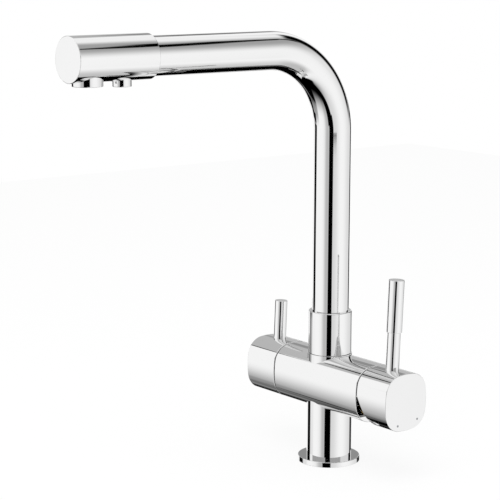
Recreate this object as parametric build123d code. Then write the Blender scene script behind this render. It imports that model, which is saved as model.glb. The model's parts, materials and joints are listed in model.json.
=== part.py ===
from build123d import *

import math
import os

# Three way filtered water tap, in millimetres.
# +Z is up, the deck is z = 0 and the column stands on the Z axis. The spout runs towards -Y,
# the mixer lever is on the +X side and the filtered water lever on the -X side.

# ---- Clearances ----
FIT = 0.05           # radial gap of a piece that turns or slides in another
SNUG = 0.03          # gap round a pressed, screwed or soldered piece
SEAM = 0.8           # open joint between the body and each handle
COLLAR_SEAM = 0.15   # thin joint between the boss and the spout collar
TILT_GAP = 0.3       # gap round the tilting spindle in its slot
LOOSE = 0.4          # gap round a piece that moves clear of another
EDGE = 0.4           # small broken edge on plated pieces
SOFT_EDGE = 0.8      # larger rounded edge on the collar and the spout head
OVERCUT = 1.0        # how far a groove cutter reaches outside the bar it cuts

# ---- Base ----
FLANGE_D = 47.6
FLANGE_T = 4.0
SEAL_INNER_D = 38.0
SEAL_WIDTH = 3.0
SEAL_T = 1.4
COLUMN_D = 34.5
FOOT_D = 31.0        # column foot that centres the flange
FOOT_RECESS = 0.6    # how far the foot stays above the deck
COLUMN_NECK_D = 28.0
COLUMN_NECK_L = 8.0  # spigot of the column inside the body

# ---- Hose and stud holes in the column foot ----
WATER_BORE_D = 7.0
HOSE_THREAD_D = 9.0
HOSE_THREAD_L = 12.0
SUPPLY_X = 4.5
SUPPLY_Y = 8.5       # hot hose at +Y, cold hose at -Y
FILTER_SUPPLY_X = -10.2
STUD_HOLE_D = 5.0
STUD_HOLE_L = 14.0
STUD_X = -5.4
STUD_Y = 9.2

# ---- Valve body: a rounded-square barrel along X ----
BODY_Z = 63.5
BODY_HEIGHT = 42.6
BODY_DEPTH = 40.6
SIDE_BULGE_R = 62.0
CORNER_R = 14.5
MIXER_END = 53.25
FILTER_END = 42.25
BOSS_D = 34.0
BOSS_RISE = 0.5
SMALL_BORE_D = 6.0
CROSS_BORE_D = 4.0

# ---- Mixer cartridge, measured outwards along +X ----
CHAMBER_D = 35.2
CHAMBER_FLOOR = 20.5
NUT_THREAD_D = 37.0
HOUSING_WALL = 2.3
BASE_T = 4.5
PORT_D = 5.2
PORT_Y = 8.5
SUPPLY_PORT_Z = 4.5
MIXED_PORT_Z = -8.5
PORT_SEAL_D = 9.2
PORT_SEAL_T = 1.6
FIXED_DISC_T = 4.0
MOVING_DISC_D = 24.0
MOVING_DISC_T = 3.0
DISC_POCKET_RIM = 2.3
DISC_POCKET_DEPTH = 1.5
CARRIER_D = 23.0
CARRIER_T = 4.2
TAIL_ARM = 6.0       # lever pivot to the centre of the ball end
BALL_D = 5.6
TAIL_D = 3.4
SPINDLE_W = 8.0
PIVOT_PIN_D = 4.0
ROTOR_D = 24.0
ROTOR_FLANGE_D = 29.0
ROTOR_FLANGE_T = 1.6
ROTOR_L = 15.6
NECK_WALL = 2.0
NECK_L = 9.0
NUT_RING_L = 6.5
NUT_NECK_D = 31.6
NUT_NECK_L = 5.0
LEVER_TILT = 25.0    # opening angle of the mixer lever
COVER_R = 21.5       # dome of the cover, centred on the lever pivot
COVER_WALL = 1.5
COVER_OPENING_D = 27.0

# ---- Filtered water valve, measured outwards along -X ----
FILTER_FLOOR = 23.0
FILTER_CHAMBER_D = 19.2
HEADWORK_THREAD_D = 20.8
HEADWORK_THREAD_L = 7.0
CUP_D = 18.2
CUP_WALL = 0.7
CUP_START = 1.6
SEAT_SEAL_BORE_D = 9.0
SEAT_SEAL_T = 2.5
FILTER_DISC_T = 3.0
FILTER_DISC_LAND = 0.7   # from the disc's middle to the straight side of its half-round opening
DRIVE_FLANGE_T = 1.9
WINDOW_W = 8.0
HEX_AF = 24.0
HEX_T = 4.0
STEM_TUBE_D = 14.0
STEM_TUBE_L = 9.5
FILTER_SPINDLE_D = 8.0
STEM_RING_W = 1.0
STEM_RING_DEPTH = 1.0
INNER_STEM_RING = 2.4    # from the start of the headwork's thread to the inner O-ring
OUTER_STEM_RING = 1.0    # from the foot of the hexagon to the outer O-ring
CIRCLIP_D = 12.0
CIRCLIP_T = 0.8
CIRCLIP_DEPTH = 0.5
CIRCLIP_GAP = 4.0

# ---- Handles ----
HANDLE_WALL = 2.3
HANDLE_END_WALL = 2.8
MIXER_HANDLE_L = 31.65
FILTER_HANDLE_L = 33.25
HANDLE_BOSS_D = 20.0
SOCKET_DEPTH = 14.0
FILTER_BOSS_GAP = 1.5
CUT_ANGLE = 28.0     # slant of the mixer handle's lower rim, a little over LEVER_TILT
CUT_RISE = 2.0       # height over the axis where the slant starts
LEVER_LEAN = 2.4     # both levers lean back
ROD_D = 9.9
MIXER_ROD_X = 69.4
FILTER_ROD_X = 61.9
MIXER_LEVER_TOP = 152.0
FILTER_LEVER_TOP = 115.0
GRIP_D = 11.6
GRIP_BOTTOM = 113.0
GRIP_CORE_D = 8.0
GRIP_CAP = 2.0
STUD_D = 6.0
STUD_LENGTH = 12.0
RIB_W = 12.0
GRUB_D = 5.0
GRUB_L = 5.5
GRUB_KEY_D = 2.5
GRUB_KEY_DEPTH = 2.7
GRUB_SETBACK = 9.5       # from the mouth of a handle's socket to its grub screw
PLUG_T = 2.0
DOT_D = 1.8
DOT_DEPTH = 0.4
DOT_INSET = 2.9      # from the handle's underside up to the circle of the dots
DOT_TURN = 7.0       # the pair of dots is turned a little from the bottom
DOT_SPREAD = 32.0

# ---- Spout foot ----
SOCKET_D = 26.0
SPIGOT_SOCKET_L = 8.0
POCKET_L = 2.3
SPIGOT_D = 22.0
SPIGOT_L = 16.0
SPIGOT_FLANGE_D = 29.0
SPIGOT_FLANGE_T = 2.0
GLIDE_T = 0.6
MIXED_HOLE_D = 3.2
MIXED_HOLE_CIRCLE_D = 13.6
MIXED_HOLES = 4
CENTRE_HOLE_D = 7.0
CENTRE_STUB_WALL = 1.5
ADAPTER_D = 8.2
ADAPTER_L = 9.0
ADAPTER_BORE_D = 3.0
ADAPTER_FLANGE_D = 9.0
ADAPTER_FLANGE_T = 2.0
ADAPTER_RING_DEPTH = 1.0
ADAPTER_RING_W = 2.0
RING_DEPTH = 1.6
RING_WIDTH = 2.0
LOWER_RING_RISE = 3.5    # from the spigot flange to the lower O-ring
LOCK_GROOVE_RISE = 7.8
UPPER_RING_RISE = 12.0
LOCK_GROOVE_W = 4.2
LOCK_GROOVE_DEPTH = 1.2
LOCK_SCREW_D = 4.0
LOCK_TIP_D = 3.0
LOCK_TIP_L = 0.8
LOCK_KEY_D = 2.0
LOCK_KEY_DEPTH = 0.8
COLLAR_WALL = 2.47       # round the tube's seat
COLLAR_TOP = 118.2
TUBE_SEAT_L = 9.2

# ---- Spout ----
TUBE_D = 28.0
TUBE_WALL = 1.2
SPOUT_Z = 317.5
BEND_R = 62.0
INNER_TUBE_D = 8.0
INNER_TUBE_WALL = 1.0
INNER_BARB_L = 8.0

# ---- Spout head, measured along the spout from the column axis ----
REACH = 232.0
HEAD_WALL = 1.87
HEAD_L = 64.5
TIP_WALL = 2.2
TUBE_END_GRIP = 10.5
CORE_SPIGOT_L = 10.0
CORE_SOCKET_L = 7.0
HEAD_RING_LAND = 1.0     # from the ends of the core's spigot to its O-rings
TUBE_RING_LAND = 2.0     # from the end of the inner tube to its O-ring
TUBE_RING_DEPTH = 1.0
FILTER_WAY_D = 4.0
MAIN_SETBACK = 15.0      # tip face to the main outlet's axis
FILTER_SETBACK = 42.8
MAIN_OUTLET_D = 21.6
MAIN_OUTLET_DROP = 2.4
AERATOR_D = 18.4
AERATOR_L = 8.0
AERATOR_RECESS = 0.6
AERATOR_CHAMBER_L = 4.5
AERATOR_WALL = 2.3
AERATOR_HOLE_D = 1.5
AERATOR_PITCH = 2.3
MAIN_BORE_D = 14.0
FILTER_OUTLET_D = 13.2
FILTER_OUTLET_DROP = 3.8
FILTER_OUTLET_BORE_D = 9.2
FILTER_INSERT_L = 5.0
FILTER_INSERT_HOLE_D = 1.7
FILTER_INSERT_PITCH = 2.6
AERATOR_SHOULDER = 0.6   # metal over the aerator's seat
WASHER_T = 1.2
WASHER_WIDTH = 2.5
HEAD_CHANNEL_WALL = 0.8
HEAD_CHANNEL_ANGLES = (45, 90, 135)

# ---- Heights and stations that follow from the sizes above ----
BODY_TOP = BODY_Z + BODY_HEIGHT / 2
BODY_BOTTOM = BODY_Z - BODY_HEIGHT / 2
NECK_START = BODY_BOTTOM - EDGE
NECK_TOP = BODY_BOTTOM + COLUMN_NECK_L
BOSS_TOP = BODY_TOP + BOSS_RISE
SOCKET_FLOOR = BOSS_TOP - SPIGOT_SOCKET_L
POCKET_FLOOR = SOCKET_FLOOR - POCKET_L
SUPPLY_LEVEL = BODY_Z + SUPPLY_PORT_Z
MIXED_LEVEL = BODY_Z + MIXED_PORT_Z
SPIGOT_SHOULDER = BOSS_TOP + SPIGOT_FLANGE_T
SPIGOT_TOP = SPIGOT_SHOULDER + SPIGOT_L
COLLAR_BOTTOM = BOSS_TOP + COLLAR_SEAM
COLLAR_SHOULDER = SPIGOT_SHOULDER + GLIDE_T + FIT
COLLAR_D = TUBE_D + 2 * SNUG + 2 * COLLAR_WALL
TUBE_BOTTOM = COLLAR_TOP - TUBE_SEAT_L
INNER_TUBE_BOTTOM = SPIGOT_TOP + LOOSE + ADAPTER_FLANGE_T

BASE_END = CHAMBER_FLOOR + BASE_T
FIXED_DISC_END = BASE_END + FIXED_DISC_T
MOVING_DISC_END = FIXED_DISC_END + FIT + MOVING_DISC_T
CARRIER_END = MOVING_DISC_END + CARRIER_T
ROTOR_START = CARRIER_END + FIT
ROTOR_END = ROTOR_START + ROTOR_L
FLANGE_END = ROTOR_START + ROTOR_FLANGE_T
HOUSING_SHOULDER = FLANGE_END + LOOSE
HOUSING_END = HOUSING_SHOULDER + HOUSING_WALL + SNUG
NECK_END = HOUSING_END + NECK_L
PIVOT_X = MOVING_DISC_END + LOOSE / 2 + BALL_D / 2 + TAIL_ARM
HOUSING_D = CHAMBER_D - 4 * FIT
DISC_BORE_D = HOUSING_D - 2 * HOUSING_WALL
NECK_D = ROTOR_D + 2 * FIT + 2 * NECK_WALL
NUT_START = HOUSING_END + FIT
NUT_SHOULDER = NUT_START + NUT_RING_L
NUT_END = NUT_SHOULDER + NUT_NECK_L

HEADWORK_THREAD_START = FILTER_END - HEADWORK_THREAD_L
SEAT_END = FILTER_FLOOR + SEAT_SEAL_T
FILTER_DISC_END = SEAT_END + FILTER_DISC_T
FILTER_ROTOR_END = FILTER_DISC_END + FIT + FILTER_DISC_T
DRIVE_END = FILTER_ROTOR_END + DRIVE_FLANGE_T
HEX_END = FILTER_END + HEX_T
STEM_END = HEX_END + STEM_TUBE_L
FILTER_BOSS_START = STEM_END + CIRCLIP_T + FILTER_BOSS_GAP

MIXER_RIM = MIXER_END + SEAM
MIXER_HANDLE_END = MIXER_RIM + MIXER_HANDLE_L
MIXER_BOSS_START = PIVOT_X + COVER_R + 2 * LOOSE
FILTER_RIM = FILTER_END + SEAM
FILTER_HANDLE_END = FILTER_RIM + FILTER_HANDLE_L
DOT_RADIUS = BODY_HEIGHT / 2 - DOT_INSET

HEAD_START = REACH - HEAD_L
TUBE_END = HEAD_START + TUBE_END_GRIP
HEAD_BORE_D = TUBE_D + 2 * SNUG
HEAD_D = HEAD_BORE_D + 2 * HEAD_WALL
CORE_SPIGOT_D = TUBE_D - 2 * TUBE_WALL - 2 * FIT
CORE_END = REACH - TIP_WALL - LOOSE
CORE_START = TUBE_END - CORE_SPIGOT_L
INNER_TUBE_END = TUBE_END + CORE_SOCKET_L
CHANNEL_OUTER = CORE_SPIGOT_D / 2 - RING_DEPTH - HEAD_CHANNEL_WALL
CHANNEL_INNER = INNER_TUBE_D / 2 + TUBE_RING_DEPTH + SNUG + HEAD_CHANNEL_WALL
HEAD_CHANNEL_D = CHANNEL_OUTER - CHANNEL_INNER
HEAD_CHANNEL_RISE = (CHANNEL_OUTER + CHANNEL_INNER) / 2
MAIN_OUTLET_X = REACH - MAIN_SETBACK
FILTER_OUTLET_X = REACH - FILTER_SETBACK
MAIN_OUTLET_END = -HEAD_D / 2 - MAIN_OUTLET_DROP
FILTER_OUTLET_END = -HEAD_D / 2 - FILTER_OUTLET_DROP
OUTLET_ROOT = MAIN_OUTLET_END + AERATOR_RECESS + AERATOR_L + AERATOR_SHOULDER
WASHER_TOP = OUTLET_ROOT + WASHER_T

# ---- Frames of the sub-assemblies: local +X runs outwards along each one's axis ----
MIXER_SIDE = Pos(0, 0, BODY_Z)
FILTER_SIDE = Pos(0, 0, BODY_Z) * Rot(0, 0, 180)
SPOUT_LINE = Pos(0, 0, SPOUT_Z) * Rot(0, 0, -90)


# ---- Basic shapes ----
def post(diameter, low, high, at=(0, 0)):
    """Upright round bar between two heights."""
    return Pos(at[0], at[1], low) * Cylinder(
        diameter / 2, high - low, align=(Align.CENTER, Align.CENTER, Align.MIN))


def pipe(outer, inner, low, high, at=(0, 0)):
    """Upright ring or tube between two heights."""
    return post(outer, low, high, at) - post(inner, low, high, at)


def bar(diameter, start, end, at=(0, 0)):
    """Round bar along X, centred at a place (y, z)."""
    return Pos(start, at[0], at[1]) * Rot(0, 90, 0) * Cylinder(
        diameter / 2, end - start, align=(Align.CENTER, Align.CENTER, Align.MIN))


def sleeve(outer, inner, start, end, at=(0, 0)):
    """Ring or tube along X."""
    return bar(outer, start, end, at) - bar(inner, start, end, at)


def block(x, y, z):
    """Box given by its span on each axis."""
    size = [high - low for low, high in (x, y, z)]
    return Pos(x[0], y[0], z[0]) * Box(*size, align=(Align.MIN, Align.MIN, Align.MIN))


def barrel(inset, start, end):
    """Rounded-square bar along X, its outline set in from the body's surface."""
    half_y = BODY_DEPTH / 2 - inset
    half_z = BODY_HEIGHT / 2 - inset
    side = SIDE_BULGE_R - inset
    outline = Pos(half_y - side, 0) * Circle(side) & Pos(side - half_y, 0) * Circle(side)
    outline &= Pos(0, half_z - side) * Circle(side)
    outline &= Pos(0, side - half_z) * Circle(side)
    outline = fillet(outline.vertices(), CORNER_R - inset)
    return Pos(start, 0, 0) * extrude(Plane.YZ * outline, end - start)


def hex_grid(pitch, radius):
    """Centres of a hexagonal hole pattern that stays inside a circle."""
    rows = int(radius / (pitch * math.sqrt(3) / 2))
    columns = int(radius / pitch) + 1
    places = []
    for row in range(-rows, rows + 1):
        for column in range(-columns, columns + 1):
            x = (column + (row % 2) / 2) * pitch
            y = row * pitch * math.sqrt(3) / 2
            if math.hypot(x, y) <= radius:
                places.append((x, y))
    return places


def cut_holes(solid, holes):
    """Take a list of round holes out of a solid in one cut."""
    return solid - holes if holes else solid


# ---- Base and body ----
def base_flange():
    """Round cover flange with a groove for the deck seal."""
    flange = post(FLANGE_D, 0, FLANGE_T)
    flange = fillet(flange.edges().group_by(Axis.Z)[-1], EDGE)
    flange -= post(FOOT_D + 2 * SNUG, 0, FLANGE_T)
    return flange - pipe(SEAL_INNER_D + 2 * SEAL_WIDTH, SEAL_INNER_D, 0, SEAL_T)


def base_seal():
    """Flat rubber ring in the flange's groove, level with the deck."""
    return pipe(SEAL_INNER_D + 2 * SEAL_WIDTH - 2 * SNUG, SEAL_INNER_D + 2 * SNUG, 0, SEAL_T - SNUG)


def column():
    """Column with three water ways, hose threads and two stud holes, saddled to the barrel."""
    solid = post(COLUMN_D, FLANGE_T, BODY_Z) - barrel_at_body(0)
    solid += post(FOOT_D, FOOT_RECESS, FLANGE_T)
    solid += post(COLUMN_NECK_D, NECK_START, NECK_TOP)
    holes = [post(STUD_HOLE_D, FOOT_RECESS, FOOT_RECESS + STUD_HOLE_L, (STUD_X, side * STUD_Y))
             for side in (1, -1)]
    for place in supply_places():
        holes.append(post(WATER_BORE_D, FOOT_RECESS, NECK_TOP, place))
        holes.append(post(HOSE_THREAD_D, FOOT_RECESS, FOOT_RECESS + HOSE_THREAD_L, place))
    return cut_holes(solid, holes)


def supply_places():
    """Plan positions of the hot, cold and filtered water ways."""
    return [(SUPPLY_X, SUPPLY_Y), (SUPPLY_X, -SUPPLY_Y), (FILTER_SUPPLY_X, 0)]


def barrel_at_body(inset):
    """The body's rounded-square bar at its real height."""
    return Pos(0, 0, BODY_Z) * barrel(inset, -FILTER_END, MIXER_END)


def valve_body():
    """Barrel with its two valve chambers, the boss for the spout and the water ways."""
    solid = barrel_at_body(0) + post(BOSS_D, BODY_Z, BOSS_TOP)
    solid -= MIXER_SIDE * bar(CHAMBER_D, CHAMBER_FLOOR, MIXER_END)
    solid -= MIXER_SIDE * bar(NUT_THREAD_D, HOUSING_END, MIXER_END)
    solid -= FILTER_SIDE * bar(FILTER_CHAMBER_D, FILTER_FLOOR, FILTER_END)
    solid -= FILTER_SIDE * bar(HEADWORK_THREAD_D, HEADWORK_THREAD_START, FILTER_END)
    solid -= post(COLUMN_NECK_D + 2 * SNUG, NECK_START, NECK_TOP)
    solid -= post(SOCKET_D, SOCKET_FLOOR, BOSS_TOP)
    stub = CENTRE_HOLE_D + 2 * CENTRE_STUB_WALL
    solid -= pipe(SOCKET_D, stub, POCKET_FLOOR, SOCKET_FLOOR)
    return cut_holes(solid, body_water_ways())


def body_water_ways():
    """Drillings between the column, the two valves and the spout foot."""
    ways = []
    for side in (1, -1):
        place = (SUPPLY_X, side * SUPPLY_Y)
        ways.append(post(WATER_BORE_D, NECK_TOP, SUPPLY_LEVEL, place))
        level = SUPPLY_LEVEL - BODY_Z
        ways.append(MIXER_SIDE * bar(SMALL_BORE_D, SUPPLY_X, CHAMBER_FLOOR, (side * PORT_Y, level)))
    mixed_x = (SOCKET_D - SMALL_BORE_D) / 2 - LOOSE
    ways.append(post(SMALL_BORE_D, MIXED_LEVEL, POCKET_FLOOR, (mixed_x, 0)))
    ways.append(MIXER_SIDE * bar(SMALL_BORE_D, mixed_x, CHAMBER_FLOOR, (0, MIXED_PORT_Z)))
    ways.append(post(WATER_BORE_D, NECK_TOP, BODY_Z, (FILTER_SUPPLY_X, 0)))
    ways.append(FILTER_SIDE * bar(WATER_BORE_D, -FILTER_SUPPLY_X, FILTER_FLOOR))
    outlet_rise = filter_outlet_rise()
    ways.append(FILTER_SIDE * bar(CROSS_BORE_D, 0, DRIVE_END, (0, outlet_rise)))
    ways.append(post(CENTRE_HOLE_D, BODY_Z + outlet_rise, SOCKET_FLOOR))
    return ways


def filter_outlet_rise():
    """Height over the axis of the drilling that leaves the filtered water chamber along its top."""
    return (FILTER_CHAMBER_D - CROSS_BORE_D) / 2 + 2 * LOOSE


# ---- Mixer cartridge ----
def port_places():
    """Places (y, z) of the hot, cold and mixed ports in the cartridge."""
    return [(PORT_Y, SUPPLY_PORT_Z), (-PORT_Y, SUPPLY_PORT_Z), (0, MIXED_PORT_Z)]


def cartridge_port_seals():
    """Three rubber rings between the cartridge and the chamber floor."""
    end = CHAMBER_FLOOR + PORT_SEAL_T
    rings = [sleeve(PORT_SEAL_D, SMALL_BORE_D, CHAMBER_FLOOR, end, place) for place in port_places()]
    return Compound([ring.solid() for ring in rings])


def cartridge_base():
    """Plastic base plate with a recess for each port seal."""
    plate = bar(HOUSING_D, CHAMBER_FLOOR, BASE_END)
    holes = [bar(PORT_D, CHAMBER_FLOOR, BASE_END, place) for place in port_places()]
    recess_end = CHAMBER_FLOOR + PORT_SEAL_T
    holes += [bar(PORT_SEAL_D + 2 * SNUG, CHAMBER_FLOOR, recess_end, place) for place in port_places()]
    return cut_holes(plate, holes)


def cartridge_fixed_disc():
    """Ceramic disc with three ports, held by the housing."""
    disc = bar(DISC_BORE_D - 2 * SNUG, BASE_END, FIXED_DISC_END)
    return cut_holes(disc, [bar(PORT_D, BASE_END, FIXED_DISC_END, place) for place in port_places()])


def cartridge_moving_disc():
    """Ceramic disc with a pocket that joins the ports when it slides up."""
    disc = bar(MOVING_DISC_D, FIXED_DISC_END + FIT, MOVING_DISC_END)
    pocket_end = FIXED_DISC_END + FIT + DISC_POCKET_DEPTH
    pocket = block((FIXED_DISC_END, pocket_end), (-PORT_Y, PORT_Y), (MIXED_PORT_Z, 0))
    return disc - (pocket & bar(MOVING_DISC_D - 2 * DISC_POCKET_RIM, FIXED_DISC_END, pocket_end))


def disc_carrier():
    """Plastic cap on the moving disc, with the socket for the spindle's ball end."""
    carrier = bar(CARRIER_D, MOVING_DISC_END, CARRIER_END)
    return carrier - bar(BALL_D + 2 * LOOSE, MOVING_DISC_END, CARRIER_END)


def cartridge_housing():
    """Stepped plastic housing that holds the discs and guides the lever holder."""
    housing = bar(HOUSING_D, BASE_END, HOUSING_END) + bar(NECK_D, HOUSING_END, NECK_END)
    housing -= bar(DISC_BORE_D, BASE_END, HOUSING_SHOULDER)
    return housing - bar(ROTOR_D + 2 * FIT, HOUSING_SHOULDER, NECK_END)


def spindle_drop(along):
    """How far the underside of the tilted spindle hangs below the axis, a distance from the pivot."""
    tilt = math.radians(LEVER_TILT)
    return along * math.tan(tilt) + SPINDLE_W / 2 / math.cos(tilt)


def lever_holder():
    """Turning plastic holder with the slot in which the spindle tilts."""
    holder = bar(ROTOR_D, ROTOR_START, ROTOR_END) + bar(ROTOR_FLANGE_D, ROTOR_START, FLANGE_END)
    half = SPINDLE_W / 2
    across = (-half - FIT, half + FIT)
    swing = TAIL_ARM * math.sin(math.radians(LEVER_TILT))
    inner = (-spindle_drop(0) - TILT_GAP, swing + BALL_D / 2 + LOOSE)
    outer = (-spindle_drop(ROTOR_END - PIVOT_X) - TILT_GAP, half + TILT_GAP)
    holder -= block((ROTOR_START, PIVOT_X), across, inner)
    holder -= block((PIVOT_X, ROTOR_END), across, outer)
    return holder - lever_pin_bar(SNUG)


def lever_pin_bar(gap):
    """Bar along Y through the lever pivot, larger by a gap all round."""
    length = 2 * math.sqrt((ROTOR_D / 2) ** 2 - (PIVOT_PIN_D / 2) ** 2) - 2 * FIT
    return Pos(PIVOT_X, 0, 0) * Rot(90, 0, 0) * Cylinder(PIVOT_PIN_D / 2 + gap, length + 2 * gap)


def lever_pin():
    """Steel pin on which the spindle tilts."""
    return lever_pin_bar(0)


def mixer_spindle():
    """Square spindle with a round hub on the pin and a ball end in the disc carrier."""
    half = SPINDLE_W / 2
    hub = Pos(PIVOT_X, 0, 0) * Rot(90, 0, 0) * Cylinder(half, SPINDLE_W)
    end = MIXER_BOSS_START + SOCKET_DEPTH - LOOSE
    shaft = block((PIVOT_X, end), (-half, half), (-half, half))
    shaft = chamfer(shaft.faces().sort_by(Axis.X)[-1].edges(), EDGE)
    ball = Pos(PIVOT_X - TAIL_ARM, 0, 0) * Rot(0, 90, 0) * Sphere(BALL_D / 2)
    return hub + shaft + ball + bar(TAIL_D, PIVOT_X - TAIL_ARM, PIVOT_X) - lever_pin_bar(FIT)


def cartridge_nut():
    """Brass ring nut that clamps the cartridge, with a neck for the cover."""
    nut = bar(NUT_THREAD_D - 2 * SNUG, NUT_START, NUT_SHOULDER)
    nut += bar(NUT_NECK_D, NUT_SHOULDER, NUT_END)
    return nut - bar(NECK_D + 2 * FIT, NUT_START, NUT_END)


def mixer_cover():
    """Domed cover ring over the nut, seen in the gap under the mixer handle."""
    inner = NUT_NECK_D / 2 + SNUG
    skirt = NUT_NECK_D / 2 + COVER_WALL
    opening = COVER_OPENING_D / 2
    start = NUT_SHOULDER + SNUG
    foot = (PIVOT_X + math.sqrt(COVER_R ** 2 - skirt ** 2), skirt)
    lip = (PIVOT_X + math.sqrt(COVER_R ** 2 - opening ** 2), opening)
    inside = Polyline(lip, (NUT_END + LOOSE, opening), (NUT_END + LOOSE, inner), (start, inner),
                      (start, skirt), foot)
    return revolve(make_face(inside + RadiusArc(foot, lip, COVER_R)), Axis.X)


# ---- Handles and levers ----
def lever_bar(diameter, rod_x, low, high):
    """Round bar on a lever's leaning axis, with heights measured over the deck."""
    stretch = 1 / math.cos(math.radians(LEVER_LEAN))
    frame = Pos(rod_x, 0, BODY_Z) * Rot(-LEVER_LEAN, 0, 0)
    return frame * post(diameter, (low - BODY_Z) * stretch, (high - BODY_Z) * stretch)


def broken_end(solid, width):
    """Chamfer the round top edge of a lever."""
    return chamfer(solid.edges().group_by(Axis.Z)[-1], width)


def handle_shell(rim, end, boss_start, socket, rod_x):
    """Hollow handle with its centre boss, a rib for the lever and a screw hole from below.

    All stations are measured outwards along the handle's own axis.
    """
    shell = barrel(0, rim, end)
    shell = fillet(shell.faces().sort_by(Axis.X)[-1].edges(), EDGE)
    shell -= barrel(HANDLE_WALL, rim, end - HANDLE_END_WALL)
    top = BODY_HEIGHT / 2 - HANDLE_WALL / 2
    half = RIB_W / 2
    shell += bar(HANDLE_BOSS_D, boss_start, end - HANDLE_END_WALL)
    rib = block((max(rod_x - half, boss_start), rod_x + half), (-half, half), (0, top))
    shell += rib
    shell -= socket
    return shell - post(GRUB_D + 2 * SNUG, -BODY_HEIGHT, 0, (screw_station(boss_start), 0))


def screw_station(boss_start):
    """Distance along the handle's axis of its grub screw."""
    return boss_start + GRUB_SETBACK


def grub_screw(boss_start, socket_radius):
    """Hexagon socket grub screw that clamps the handle to its spindle from below."""
    place = (screw_station(boss_start), 0)
    screw = post(GRUB_D, -socket_radius - GRUB_L, -socket_radius, place)
    key = Pos(place[0], place[1], -socket_radius - GRUB_L) * extrude(
        RegularPolygon(GRUB_KEY_D / 2, 6), GRUB_KEY_DEPTH)
    return screw - key


def screw_plug(boss_start):
    """Plug that closes the screw hole flush with the handle's underside."""
    low = -BODY_HEIGHT / 2
    plug = post(GRUB_D, low - HANDLE_WALL, low + PLUG_T, (screw_station(boss_start), 0))
    return plug & barrel(0, boss_start, boss_start + 2 * SOCKET_DEPTH)


def mixer_socket():
    """Square socket of the mixer handle."""
    half = SPINDLE_W / 2 + SNUG
    return block((MIXER_BOSS_START, MIXER_BOSS_START + SOCKET_DEPTH), (-half, half), (-half, half))


def slanted_rim():
    """Wedge that the mixer handle's lower rim loses so that the lever can tilt outwards."""
    fall = BODY_HEIGHT
    run = fall * math.tan(math.radians(CUT_ANGLE))
    before = MIXER_RIM - fall
    low = CUT_RISE - fall
    corners = [(before, CUT_RISE), (MIXER_RIM, CUT_RISE), (MIXER_RIM + run, low), (before, low)]
    return extrude(Plane.XZ * make_face(Polyline(*corners, close=True)), BODY_DEPTH, both=True)


def index_dot(side, gap):
    """Round inlay in the mixer handle's end face: hot on one side, cold on the other."""
    angle = math.radians(-90 + DOT_TURN + side * DOT_SPREAD)
    place = (DOT_RADIUS * math.cos(angle), DOT_RADIUS * math.sin(angle))
    return MIXER_SIDE * bar(DOT_D + 2 * gap, MIXER_HANDLE_END - DOT_DEPTH, MIXER_HANDLE_END, place)


def mixer_handle():
    """Chrome shell of the mixer handle."""
    shell = handle_shell(MIXER_RIM, MIXER_HANDLE_END, MIXER_BOSS_START, mixer_socket(), MIXER_ROD_X)
    shell = MIXER_SIDE * (shell - slanted_rim())
    shell -= lever_stud(MIXER_ROD_X, SNUG)
    return shell - index_dot(1, SNUG) - index_dot(-1, SNUG)


def filter_handle():
    """Chrome shell of the filtered water handle."""
    socket = bar(FILTER_SPINDLE_D + 2 * SNUG, FILTER_BOSS_START, FILTER_BOSS_START + SOCKET_DEPTH)
    shell = handle_shell(FILTER_RIM, FILTER_HANDLE_END, FILTER_BOSS_START, socket, FILTER_ROD_X)
    return FILTER_SIDE * shell - lever_stud(-FILTER_ROD_X, SNUG)


def lever_stud(rod_x, gap):
    """Threaded end of a lever inside the handle, larger by a gap all round."""
    return lever_bar(STUD_D + 2 * gap, rod_x, BODY_TOP - STUD_LENGTH + EDGE - gap, BODY_TOP + EDGE)


def lever_rod(rod_x, shoulder, top):
    """Round lever rod, cut to the handle's top surface, with its threaded end."""
    rod = lever_bar(ROD_D, rod_x, BODY_TOP - STUD_LENGTH, shoulder)
    if top > shoulder:
        rod += lever_bar(GRIP_CORE_D, rod_x, shoulder, top)
    else:
        rod = broken_end(rod, EDGE)
    outer = MIXER_SIDE * barrel(0, rod_x - ROD_D, rod_x + ROD_D)
    return rod - outer + lever_stud(rod_x, 0)


def mixer_lever_rod():
    """Lower part of the mixer lever with the core that carries the grip."""
    return lever_rod(MIXER_ROD_X, GRIP_BOTTOM, MIXER_LEVER_TOP - GRIP_CAP)


def mixer_lever_grip():
    """Thicker closed sleeve on the upper part of the mixer lever."""
    grip = broken_end(lever_bar(GRIP_D, MIXER_ROD_X, GRIP_BOTTOM, MIXER_LEVER_TOP), EDGE)
    return grip - lever_bar(GRIP_CORE_D + 2 * SNUG, MIXER_ROD_X, GRIP_BOTTOM, MIXER_LEVER_TOP - GRIP_CAP)


# ---- Filtered water valve ----
def filter_seat_seal():
    """Rubber seat between the chamber floor and the fixed disc."""
    return sleeve(CUP_D - 2 * CUP_WALL - 2 * SNUG, SEAT_SEAL_BORE_D, FILTER_FLOOR, SEAT_END)


def half_moon(start, end, side):
    """Half-round opening of a filtered water disc."""
    opening = bar(SEAT_SEAL_BORE_D, start, end)
    half = SEAT_SEAL_BORE_D / 2
    span = (FILTER_DISC_LAND, half) if side > 0 else (-half, -FILTER_DISC_LAND)
    return opening & block((start, end), (-half, half), span)


def filter_fixed_disc():
    """Ceramic disc with a half-round opening below."""
    disc = bar(CUP_D - 2 * CUP_WALL - 2 * SNUG, SEAT_END, FILTER_DISC_END)
    return disc - half_moon(SEAT_END, FILTER_DISC_END, -1)


def filter_moving_disc():
    """Ceramic disc that turns with the spindle, closed when its opening is above."""
    start = FILTER_DISC_END + FIT
    disc = bar(CUP_D - 2 * CUP_WALL - 2 * LOOSE, start, FILTER_ROTOR_END)
    return disc - half_moon(start, FILTER_ROTOR_END, 1)


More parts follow.
